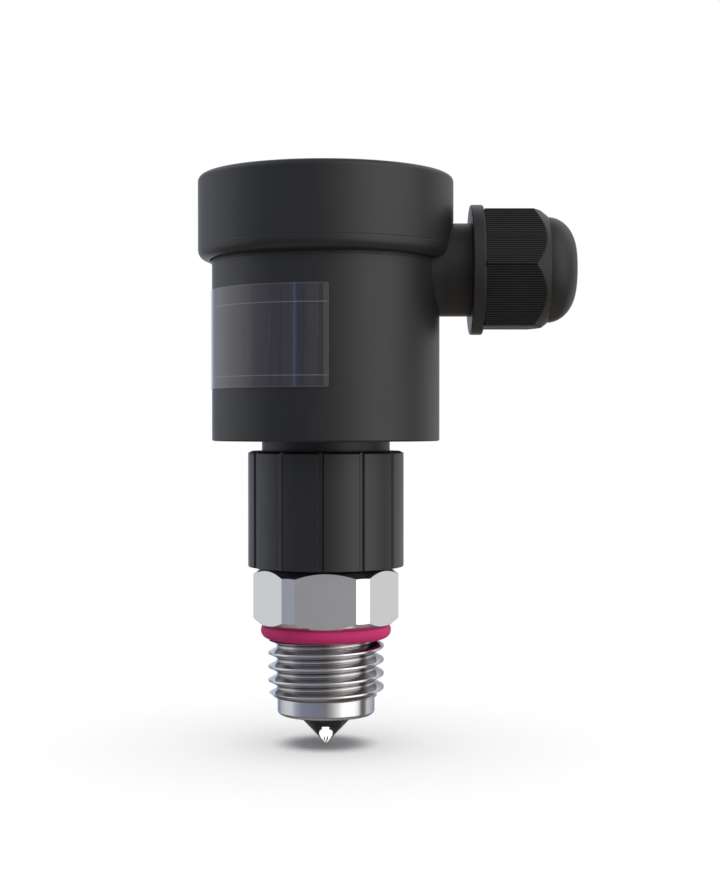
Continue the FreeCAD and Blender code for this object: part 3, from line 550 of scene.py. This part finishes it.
# %% Mix the board's lacquer
track_spacing, weave_size = 5, 0.6
lacquer = Finish(bpy.data.materials.new("board_green"))
place = lacquer.coordinates()
tracks = lacquer.node("ShaderNodeTexBrick", {"offset": 0.5, "squash": 1.0},
                      {"Vector": place, "Scale": 1 / (track_spacing * MM),
                       "Mortar Size": 0.035, "Mortar Smooth": 0.1, "Row Height": 0.38},
                      output="Fac")
weave = lacquer.node("ShaderNodeTexChecker",
                     inputs={"Vector": place, "Scale": 1 / (weave_size * MM)}, output="Fac")
green = lacquer.blend(lacquer.noise(3.0, 2.0), tint(18, 78, 42), tint(26, 96, 52))
tracked = lacquer.blend(tracks * 0.7, green, tint(62, 128, 66))
finishes["board_green"] = lacquer.surface(
    Base_Color=tracked, Roughness=0.3 + 0.1 * lacquer.noise(1.0, 2.0),
    Normal=lacquer.bump(tracks + 0.15 * weave, 0.02))
print("board lacquer mixed")

# %% Mix the capacitor's sleeve
capacitor_x = -9.0
sleeve = Finish(bpy.data.materials.new("capacitor_sleeve"))
across = sleeve.split(sleeve.coordinates())[0]
stripe = (across - capacitor_x * MM).rising(1.9 * MM, 2.1 * MM)
wrinkle = sleeve.noise(0.9, 3.0)
wrapped = sleeve.blend(stripe, tint(26, 30, 52), tint(170, 174, 186))
finishes["capacitor_sleeve"] = sleeve.surface(
    Base_Color=wrapped, Roughness=0.22 + 0.12 * wrinkle, Normal=sleeve.bump(wrinkle, 0.02))
print("finishes mixed:", len(finishes))

# %% [markdown]
# ## Dress the solids that stay
# Most inner pieces are already the right shape, with fine edges, so they stay as the CAD
# made them and only get their finish. Each solid's material is named after its slot.

# %% Give every solid its finish
for name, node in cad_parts.items():
    for holder in node.material_slots:
        holder.material = finishes[holder.material.name.split(".")[0]]
print("dressed:", len(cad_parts))

# %% [markdown]
# ## Tools for the new pieces
# Almost everything here was turned on a lathe or moulded round, so the main tool spins an
# outline about the axis. An outline point is a radius, a height and, where the corner is
# rounded, how far the rounding reaches along the lines beside it. Other tools carve one
# shape with another, lay a shape onto the gland's axis, draw a flat shape out to a block,
# soften sharp edges, and hand over a finished piece.

# %% Spin an outline
def turned(*outline, steps=160, arc_steps=5):
    """Spin a closed outline of (radius, height[, rounding]) in mm about the axis."""
    bm = bmesh.new()
    corners = [bm.verts.new((point[0] * MM, 0, point[1] * MM)) for point in outline]
    for first, second in zip(corners, corners[1:] + corners[:1]):
        if first.co.x > 0 or second.co.x > 0:
            bm.edges.new((first, second))
    for corner, point in zip(corners, outline):
        if len(point) > 2:
            bmesh.ops.bevel(bm, geom=[corner], offset=point[2] * MM, offset_type="OFFSET",
                            affect="VERTICES", segments=arc_steps, profile=0.5, material=-1)
    bmesh.ops.spin(bm, geom=bm.verts[:] + bm.edges[:], cent=(0, 0, 0), axis=(0, 0, 1),
                   angle=math.tau, steps=steps, use_merge=True, use_duplicate=False)
    return mended(bm)


def mended(bm):
    """Merge doubles, then turn every face outwards."""
    bmesh.ops.remove_doubles(bm, verts=bm.verts, dist=0.0005 * MM)
    bmesh.ops.recalc_face_normals(bm, faces=bm.faces)
    return bm


test = turned((5, 0), (5, 1, 0.2), (0, 1), (0, 0))
print("a disc of 5 mm has", len(test.faces), "faces")
test.free()

# %% Carve one shape with another
def carved(bm, tool, how="DIFFERENCE"):
    """Cut, join or trim one shape with another, by an exact boolean."""
    steps = []
    for shape in (bm, tool):
        mesh = bpy.data.meshes.new("step")
        shape.to_mesh(mesh)
        shape.free()
        step = bpy.data.objects.new("step", mesh)
        bpy.context.collection.objects.link(step)
        steps.append(step)
    cut = steps[0].modifiers.new("cut", "BOOLEAN")
    cut.operation = how
    cut.object = steps[1]
    cut.solver = "EXACT"
    result = bmesh.new()
    result.from_object(steps[0], bpy.context.evaluated_depsgraph_get())
    for step in steps:
        bpy.data.meshes.remove(step.data)
    bmesh.ops.remove_doubles(result, verts=result.verts, dist=0.0005 * MM)
    bmesh.ops.dissolve_degenerate(result, dist=0.0002 * MM, edges=result.edges)
    return result


test = carved(turned((5, 0), (5, 1), (0, 1), (0, 0)), turned((2, -1), (2, 2), (0, 2), (0, -1)))
print("with a hole it has", len(test.faces), "faces")
test.free()

# %% Lay shapes on the gland's axis, draw them out and soften edges
gland_height = 71.7


def on_gland(bm):
    """Lay a shape that was made along Z onto the gland's axis."""
    bmesh.ops.rotate(bm, verts=bm.verts, cent=(0, 0, 0),
                     matrix=Matrix.Rotation(math.pi / 2, 3, "Y"))
    bmesh.ops.translate(bm, verts=bm.verts, vec=(0, 0, gland_height * MM))
    return bm


def extruded(bm, length):
    """Draw the shape's faces out upwards by a length in mm."""
    grown = bmesh.ops.extrude_face_region(bm, geom=bm.faces[:])["geom"]
    bmesh.ops.translate(bm, verts=[v for v in grown if isinstance(v, bmesh.types.BMVert)],
                        vec=(0, 0, length * MM))


def sharp_edges(bm, degrees):
    """The edges whose faces meet at more than this angle."""
    limit = math.radians(degrees)
    return [edge for edge in bm.edges if edge.calc_face_angle(0) > limit]


def softened(bm, width, degrees=25):
    """Round the sharp edges a little, so that they catch the light."""
    bmesh.ops.bevel(bm, geom=sharp_edges(bm, degrees), offset=width * MM,
                    offset_type="OFFSET", affect="EDGES", segments=2, profile=0.5,
                    material=-1, clamp_overlap=True)
    return bm


test = softened(turned((5, 0), (5, 1), (0, 1), (0, 0), steps=48), 0.1)
print("softened it has", len(test.faces), "faces")
test.free()

# %% Hand over a finished piece
def finished(name, bm, body, slot, *nodes, sharp=32):
    """Make the object, shade it, tie it to its body, give it its finish and hide its solids."""
    for face in bm.faces:
        face.smooth = True
    for edge in bm.edges:
        edge.smooth = True
    for edge in sharp_edges(bm, sharp):
        edge.smooth = False
    mesh = bpy.data.meshes.new(name)
    bm.to_mesh(mesh)
    triangles = sum(len(face.verts) - 2 for face in bm.faces)
    bm.free()
    piece = bpy.data.objects.new(name, mesh)
    bpy.context.collection.objects.link(piece)
    mesh.materials.append(finishes[slot])
    even = piece.modifiers.new("even shading", "WEIGHTED_NORMAL")
    even.keep_sharp = True
    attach(piece, body)
    if nodes:
        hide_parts(*nodes)
    print(name, "has", triangles, "triangles")
    return piece

# %% [markdown]
# ## The lid
# The lid is a deep round cap with a small rounding at its top edge, a larger one at its
# lower edge and a thin seam line low on its side. Inside it has a guide ring, and an arch
# is cut from its wall where the gland passes. The cap is one spun outline, and the arch is
# cut with a cylinder on the gland's axis. A shallow dimple in the top is the gate where
# the plastic entered the mould.

# %% Make the lid
lid_radius = 23.0
lid_bottom, lid_top = 73.25, 88.36
seam = 75.77
lid_shape = turned(
    (0, 86.11), (17.0, 86.11), (17.0, 82.85, 0.2), (18.2, 82.85, 0.2), (18.2, 85.2),
    (20.8, 85.2), (20.8, lid_bottom, 0.15), (lid_radius, lid_bottom, 1.8),
    (lid_radius, seam - 0.09, 0.03), (22.96, seam - 0.03), (22.96, seam + 0.03),
    (lid_radius, seam + 0.09, 0.03), (lid_radius, lid_top, 1.1), (1.3, lid_top, 0.1),
    (1.1, lid_top - 0.12, 0.05), (0.35, lid_top - 0.12), (0.3, lid_top - 0.04),
    (0, lid_top - 0.04), steps=192)
arch = on_gland(turned((0, 15.2), (8.68, 15.2), (8.68, 46), (0, 46), steps=128))
lid_shape = carved(lid_shape, arch)
lid_piece = finished("lid_cap", lid_shape, "lid_body", "lid_black", "lid")

# %% [markdown]
# ## The housing
# The housing is a cup with a thick floor and a short neck below it. A small bead runs round
# it just under the lid, a boss carries the gland on each side of its wall, and the neck
# has a groove for the ring that keeps it in the union nut. The cup is spun, the bosses are
# joined on, and the hole for the gland's stem is cut last.

# %% Make the housing
body_radius, body_bottom, body_top = 20.5, 40.85, 84.2
bead_radius, bead_bottom, bead_top = 20.72, 72.75, 73.05
inner_radius = 18.5
neck_radius, neck_bottom, neck_bore = 11.55, 28.97, 9.45
boss_radius = 8.38
housing_shape = turned(
    (neck_bore, neck_bottom, 0.1), (neck_radius, neck_bottom, 0.2), (neck_radius, 34.65),
    (10.85, 34.65), (10.85, 35.75), (neck_radius, 35.75), (neck_radius, body_bottom, 0.15),
    (body_radius, body_bottom, 0.35), (body_radius, bead_bottom, 0.05),
    (bead_radius, bead_bottom, 0.08), (bead_radius, bead_top, 0.08),
    (body_radius, bead_top), (body_radius, body_top, 0.15),
    (inner_radius, body_top, 0.15), (inner_radius, 43.3, 0.6), (neck_bore, 43.3, 0.2),
    steps=192)
within_wall = turned((0, 60), (19.5, 60), (19.5, 84), (0, 84), steps=192)
inner_boss = on_gland(turned((0, 15.2), (10.6, 15.2, 0.3), (10.6, 20.5), (0, 20.5)))
inner_boss = carved(inner_boss, within_wall, "INTERSECT")
outer_boss = on_gland(turned((0, 15.3), (boss_radius, 15.3), (boss_radius, 20.7), (0, 20.7)))
stem_hole = on_gland(turned((0, 15.0), (7.0, 15.0), (7.0, 21), (0, 21), steps=96))
housing_shape = carved(carved(housing_shape, inner_boss, "UNION"), outer_boss, "UNION")
housing_shape = carved(housing_shape, stem_hole)
housing_piece = finished("housing_cup", housing_shape, "housing", "housing_black",
                         "housing_base")

# %% [markdown]
# ## The rating plate
# The plate is a strip of film bent round the body. Its section is a thin upright
# rectangle, spun through 120 degrees and closed at both ends. The four corners are the
# short edges across its thickness, and beveling them rounds the plate.

# %% Make the rating plate
bm = bmesh.new()
film_back, film_face = body_radius, 20.7
section = [bm.verts.new((radius * MM, 0, height * MM)) for radius, height in
           ((film_back, plate_bottom), (film_face, plate_bottom),
            (film_face, plate_top), (film_back, plate_top))]
for first, second in zip(section, section[1:] + section[:1]):
    bm.edges.new((first, second))
bmesh.ops.spin(bm, geom=bm.verts[:] + bm.edges[:], cent=(0, 0, 0), axis=(0, 0, 1),
               angle=math.radians(plate_right - plate_left), steps=96, use_duplicate=False)
bmesh.ops.holes_fill(bm, edges=bm.edges, sides=4)
mended(bm)
across = [edge for edge in bm.edges if edge.is_manifold
          and abs(edge.verts[0].co.z - edge.verts[1].co.z) < 1e-7
          and abs(edge.calc_length() - (film_face - film_back) * MM) < 1e-6
          and edge.calc_face_angle(0) > math.radians(80)]
bmesh.ops.bevel(bm, geom=across, offset=0.5 * MM, offset_type="OFFSET", affect="EDGES",
                segments=6, profile=0.5, material=-1)
rim = [edge for edge in sharp_edges(bm, 60)
       if min(vert.co.xy.length for vert in edge.verts) > (film_face - 0.05) * MM]
bmesh.ops.bevel(bm, geom=rim, offset=0.05 * MM, offset_type="OFFSET", affect="EDGES",
                segments=2, profile=0.5, material=-1)
bmesh.ops.rotate(bm, verts=bm.verts, cent=(0, 0, 0),
                 matrix=Matrix.Rotation(math.radians(plate_left - 90), 3, "Z"))
print("rounded corners:", len(across))
plate_piece = finished("plate_film", bm, "housing", "plate_dark", "rating_plate")

# %% [markdown]
# ## The union nut
# The nut turns freely on the neck and draws the housing down onto the fitting. Twelve
# shallow flutes give the fingers a grip. The nut is spun, and the flutes are one wedge,
# copied round the axis by a spin that duplicates, and cut out together.

# %% Make the union nut
nut_bottom, nut_top = 18.32, 39.08
nut_radius = 14.05
flute_count, flute_depth = 12, 0.38
nut_shape = turned(
    (10.6, nut_bottom, 0.2), (nut_radius, nut_bottom, 0.08), (nut_radius, 38.71, 0.08),
    (13.33, nut_top, 0.1), (11.75, nut_top, 0.2), (11.75, 37.08), (12.75, 37.08),
    (12.75, 27.17), (10.6, 27.17), steps=240)
flutes = bmesh.new()
wedge = [flutes.verts.new((out * MM, side * MM, (nut_bottom - 1) * MM))
         for out, side in ((nut_radius - flute_depth, -0.2), (nut_radius - flute_depth, 0.2),
                           (nut_radius + 0.5, 0.96), (nut_radius + 0.5, -0.96))]
flutes.faces.new(wedge)
extruded(flutes, nut_top - nut_bottom + 2)
bmesh.ops.rotate(flutes, verts=flutes.verts, cent=(0, 0, 0),
                 matrix=Matrix.Rotation(math.radians(-92.2), 3, "Z"))
bmesh.ops.spin(flutes, geom=flutes.verts[:] + flutes.edges[:] + flutes.faces[:],
               cent=(0, 0, 0), axis=(0, 0, 1), steps=flute_count - 1,
               angle=math.tau * (flute_count - 1) / flute_count, use_duplicate=True)
bmesh.ops.recalc_face_normals(flutes, faces=flutes.faces)
nut_shape = carved(nut_shape, flutes)
nut_piece = finished("fluted_union_nut", nut_shape, "union_nut_body", "nut_black",
                     "union_nut", sharp=25)

# %% [markdown]
# ## The steel fitting
# Hexagon, thread and nose are one piece of stainless steel. The thread is a true helix:
# one pitch of its outline is spun round and lifted a little with every step, trimmed flat
# at both ends and then cut back by a turned blank, which leaves the run-outs as a lathe
# does. The hexagon is a six-sided disc with flat corners, trimmed by two shallow cones
# that give the scalloped edges. The body is spun, and the three are joined.

# %% Make the hexagon
hex_flat = 12.0
bm = bmesh.new()
hex_corner = hex_flat / math.cos(math.pi / 6)
bmesh.ops.create_circle(bm, cap_ends=True, segments=6, radius=hex_corner * MM)
extruded(bm, hex_range[1] - hex_range[0])
bmesh.ops.translate(bm, verts=bm.verts, vec=(0, 0, hex_range[0] * MM))
bmesh.ops.rotate(bm, verts=bm.verts, cent=(0, 0, 0),
                 matrix=Matrix.Rotation(math.radians(30.85), 3, "Z"))
mended(bm)
upright = [edge for edge in bm.edges if abs(edge.verts[0].co.z - edge.verts[1].co.z) > MM]
bmesh.ops.bevel(bm, geom=upright, offset=1.58 * MM, offset_type="OFFSET", affect="EDGES",
                segments=1, profile=0.5, material=-1)
cone_radius = 14
low_edge, high_edge = [(cone_radius - radius) * chamfer_slope for radius in chamfer_from]
cones = turned((0, hex_range[0]), (chamfer_from[0], hex_range[0]),
               (cone_radius, hex_range[0] + low_edge), (cone_radius, hex_range[1] - high_edge),
               (chamfer_from[1], hex_range[1]), (0, hex_range[1]))
hexagon = softened(carved(bm, cones, "INTERSECT"), 0.08, 20)
print("hexagon faces:", len(hexagon.faces))

# %% Make the helical threads
def helix(crest, root, pitch, crest_land, root_land, bottom, top, crest_at, rounding,
          steps=96):
    """A right-hand thread as a closed rod, trimmed flat at bottom and top, in mm."""
    bm = bmesh.new()
    half = pitch / 2
    outline = ((crest, -half), (crest, -half + crest_land / 2), (root, -root_land / 2),
               (root, root_land / 2), (crest, half - crest_land / 2), (crest, half))
    turns = math.ceil((top - bottom) / pitch) + 3
    start = bottom - 1.5 * pitch
    start -= (start - half - crest_at) % pitch
    points = [bm.verts.new((radius * MM, 0, (start + height) * MM))
              for radius, height in outline]
    for first, second in zip(points, points[1:]):
        bm.edges.new((first, second))
    for point, reach in zip(points[1:5], (rounding[0], rounding[1], rounding[1], rounding[0])):
        bmesh.ops.bevel(bm, geom=[point], offset=reach * MM, offset_type="OFFSET",
                        affect="VERTICES", segments=4, profile=0.5, material=-1)
    bmesh.ops.spin(bm, geom=bm.verts[:] + bm.edges[:], cent=(0, 0, 0), axis=(0, 0, 1),
                   dvec=(0, 0, pitch * MM / steps), angle=math.tau * turns,
                   steps=steps * turns, use_duplicate=False)
    bmesh.ops.remove_doubles(bm, verts=bm.verts, dist=0.001 * MM)
    for height, outwards in ((bottom, -1), (top, 1)):
        bmesh.ops.bisect_plane(bm, geom=bm.verts[:] + bm.edges[:] + bm.faces[:],
                               plane_co=(0, 0, height * MM), plane_no=(0, 0, outwards),
                               clear_outer=True)
    open_edges = [edge for edge in bm.edges if edge.is_boundary]
    bmesh.ops.holes_fill(bm, edges=open_edges, sides=0)
    return mended(bm)


thread_radius, thread_root, thread_pitch = 10.4775, 8.92, 2.47
thread = helix(thread_radius, thread_root, thread_pitch, 0.35, 0.5, -6.4, 6.9,
               0.56 * thread_pitch, (0.1, 0.22))
blank = turned((0, -5.3), (8.44, -5.3), (9.6, -5.15), (thread_radius, -4.3),
               (thread_radius, 4.8), (9.3, 5.45), (8.6, 5.95), (0, 5.95), steps=192)
thread = carved(thread, blank, "INTERSECT")
print("thread faces:", len(thread.faces))

# %% Join the fitting
nose_radius, nose_bottom = 8.81, -8.46
spigot_radius, pilot_radius, groove_radius = 10.4, 9.2, 8.1
core = turned(
    (0, nose_bottom), (nose_radius, nose_bottom, 0.75), (nose_radius, -5.2), (8.3, -5.2),
    (8.3, 5.2), (8.9, 5.2), (8.9, 7.5), (spigot_radius, 7.5), (spigot_radius, 28.92, 0.2),
    (pilot_radius, 28.92), (pilot_radius, 31.02), (groove_radius, 31.02),
    (groove_radius, 32.62), (pilot_radius, 32.62), (pilot_radius, 36.42, 0.3), (0, 36.42),
    steps=192)
fitting_shape = carved(carved(core, hexagon, "UNION"), thread, "UNION")
ring_height, ring_middle = 6.75, 10.325
seat_thickness, ring_thickness = 3.0, 2.9
ring_seat = bmesh.new()
bmesh.ops.create_circle(ring_seat, cap_ends=False, segments=40,
                        radius=seat_thickness / 2 * MM)
bmesh.ops.rotate(ring_seat, verts=ring_seat.verts, cent=(0, 0, 0),
                 matrix=Matrix.Rotation(math.pi / 2, 3, "X"))
bmesh.ops.translate(ring_seat, verts=ring_seat.verts,
                    vec=(ring_middle * MM, 0, ring_height * MM))
bmesh.ops.spin(ring_seat, geom=ring_seat.verts[:] + ring_seat.edges[:], cent=(0, 0, 0),
               axis=(0, 0, 1), angle=math.tau, steps=160, use_merge=True,
               use_duplicate=False)
bore = turned((0, -10), (5.55, -10), (5.55, -3.0), (7.4, -3.0), (7.4, 37), (0, 37), steps=96)
fitting_shape = carved(carved(fitting_shape, mended(ring_seat)), bore)
fitting_piece = finished("steel_fitting", fitting_shape, "process_connection", "stainless",
                         "process_fitting", sharp=28)

# %% [markdown]
# ## The O-ring and the dust ring
# The O-ring is a circle spun round the axis, sitting a hair clear of the round seat that
# the same circle, a little larger, cut into the fitting. The dust ring is a thin washer
# between hexagon and nut.

# %% Make the O-ring
bm = bmesh.new()
bmesh.ops.create_circle(bm, cap_ends=False, segments=48, radius=ring_thickness / 2 * MM)
bmesh.ops.rotate(bm, verts=bm.verts, cent=(0, 0, 0),
                 matrix=Matrix.Rotation(math.pi / 2, 3, "X"))
bmesh.ops.translate(bm, verts=bm.verts, vec=(ring_middle * MM, 0, ring_height * MM))
bmesh.ops.spin(bm, geom=bm.verts[:] + bm.edges[:], cent=(0, 0, 0), axis=(0, 0, 1),
               angle=math.tau, steps=192, use_merge=True, use_duplicate=False)
ring_piece = finished("raspberry_o_ring", mended(bm), "process_connection",
                      "raspberry_rubber", "process_o_ring")

# %% Make the dust ring
dust_shape = turned((10.45, 17.92), (11.2, 17.92, 0.08), (11.2, 18.27, 0.08), (10.45, 18.27))
dust_piece = finished("nut_dust_ring", dust_shape, "process_connection", "black_rubber",
                      "thread_dust_ring")

# %% [markdown]
# ## The prism
# The tip is a polished cone of ninety degrees on a short shank, with a flange inside the
# nose that the retainer presses on. It is one spun outline with a tiny round point.

# %% Make the prism
flange_radius, shank_radius = 7.2, 5.5
prism_shape = turned(
    (0, 0.5), (flange_radius, 0.5, 0.15), (flange_radius, -2.4, 0.1), (shank_radius, -2.4),
    (shank_radius, nose_bottom, 0.05), (5.35, nose_bottom, 0.05), (0.14, -13.82, 0.12),
    (0, -13.92), steps=160, arc_steps=4)
prism_piece = finished("prism_point", prism_shape, "process_connection", "prism",
                       "prism_tip")

# %% [markdown]
# ## The cable gland
# The gland's body has a stem through the housing wall, a neck, a wide collar, a thread
# and eight springy fingers. Its dome nut squeezes the fingers onto the rubber seal. The
# nut is a hexagon with fine ribs along its sides and a notch along each corner: the
# sides are divided evenly and one point of every four is pushed inwards before the
# hexagon is extruded.

# %% Make the gland's body
collar_radius, collar_start, collar_end = 11.68, 25.97, 28.2
gland_shape = turned(
    (5.2, 11.0), (6.95, 11.0, 0.2), (6.95, 21.5), (7.9, 21.5), (7.9, 20.7),
    (boss_radius, 20.7), (boss_radius, collar_start), (collar_radius, collar_start, 0.25),
    (collar_radius, collar_end, 0.3), (8.0, collar_end), (8.0, 36.6), (8.3, 36.6),
    (7.5, 41.6, 0.15), (6.65, 41.6, 0.1), (6.65, 31.5), (5.2, 31.5), steps=128)
gland_thread = helix(8.95, 8.1, 1.5, 0.25, 0.2, 27.6, 37.0, 29.0, (0.08, 0.08), steps=72)
gland_blank = turned((7.6, 27.9), (8.9, 27.9), (8.9, 35.8), (8.2, 36.45), (7.6, 36.45),
                     steps=128)
gland_thread = carved(gland_thread, gland_blank, "INTERSECT")
gland_shape = carved(on_gland(gland_shape), on_gland(gland_thread), "UNION")
slots = bmesh.new()
slot_pairs = 4
for turn in range(slot_pairs):
    slab = bmesh.ops.create_cube(slots, size=1.0)["verts"]
    bmesh.ops.scale(slots, verts=slab, vec=(20 * MM, 1.0 * MM, 5.5 * MM))
    bmesh.ops.translate(slots, verts=slab, vec=(0, 0, 39.65 * MM))
    bmesh.ops.rotate(slots, verts=slab, cent=(0, 0, 0),
                     matrix=Matrix.Rotation(math.pi * (turn + 0.5) / slot_pairs, 3, "Z"))
gland_shape = carved(gland_shape, on_gland(slots))
gland_piece = finished("gland_body_with_fingers", gland_shape, "housing", "gland_black",
                       "gland_body")

# %% Make the ribbed dome nut
nut_flat = 10.39
rib_count, rib_depth = 26, 0.28
bm = bmesh.new()
nut_corner = nut_flat / math.cos(math.pi / 6)
bmesh.ops.create_circle(bm, cap_ends=True, segments=6, radius=nut_corner * MM)
bmesh.ops.bevel(bm, geom=bm.verts[:], offset=0.105 * MM, offset_type="OFFSET",
                affect="VERTICES", segments=2, profile=0.5, material=-1)
notch_depth = 0.2
furthest = max(vert.co.length for vert in bm.verts)
for vert in bm.verts:
    if vert.co.length > furthest - 0.01 * MM:
        vert.co *= 1 - notch_depth * MM / furthest
sides = [edge for edge in bm.edges if edge.calc_length() > 5 * MM]
bmesh.ops.subdivide_edges(bm, edges=sides, cuts=4 * rib_count - 1)
for side in range(6):
    out = Matrix.Rotation(math.tau * side / 6, 3, "Z") @ Vector((1, 0, 0))
    along = Vector((-out.y, out.x, 0))
    face_line = sorted((vert for vert in bm.verts if vert.co.dot(out) > (nut_flat - 0.01) * MM),
                       key=lambda vert: vert.co.dot(along))
    grooves = face_line[1:-1:4]
    bmesh.ops.translate(bm, verts=grooves, vec=-rib_depth * MM * out)
bmesh.ops.translate(bm, verts=bm.verts, vec=(0, 0, 28.0 * MM))
extruded(bm, 12)
mended(bm)
cone = turned((0, 28.25), (12.0, 28.25), (12.0, 36.8), (9.7, 39.8, 0.1), (0, 39.8),
              steps=192)
dome_nut = carved(bm, cone, "INTERSECT")
bulge_start, bulge_squeeze = 39.9, 5.1 / 6.1
dome = turned((0, 39.0), (9.5, 39.0), (9.5, 46.0, 6.1), (0, 46.0), steps=128, arc_steps=16)
bmesh.ops.scale(dome, vec=(1, 1, bulge_squeeze),
                space=Matrix.Translation((0, 0, -bulge_start * MM)),
                verts=[vert for vert in dome.verts if vert.co.z > bulge_start * MM])
dome_nut = carved(dome_nut, dome, "UNION")
hollow = turned((0, 28), (9.1, 28), (9.1, 36.9), (8.6, 36.9), (7.8, 41.9), (7.8, 42.55),
                (4.7, 42.55), (4.7, 46), (0, 46), steps=128)
dome_nut = carved(dome_nut, hollow)
dome_piece = finished("ribbed_dome_nut", on_gland(dome_nut), "gland_nut_body",
                      "gland_black", "gland_nut", sharp=30)

# %% Make the gland's rubber seal
seal_shape = turned((4.0, 31.55, 0.2), (6.35, 31.55, 0.3), (6.35, 42.35, 0.5),
                    (4.0, 42.35, 0.4), steps=96)
seal_piece = finished("gland_rubber_seal", on_gland(seal_shape), "gland_slide",
                      "black_rubber", "gland_seal")
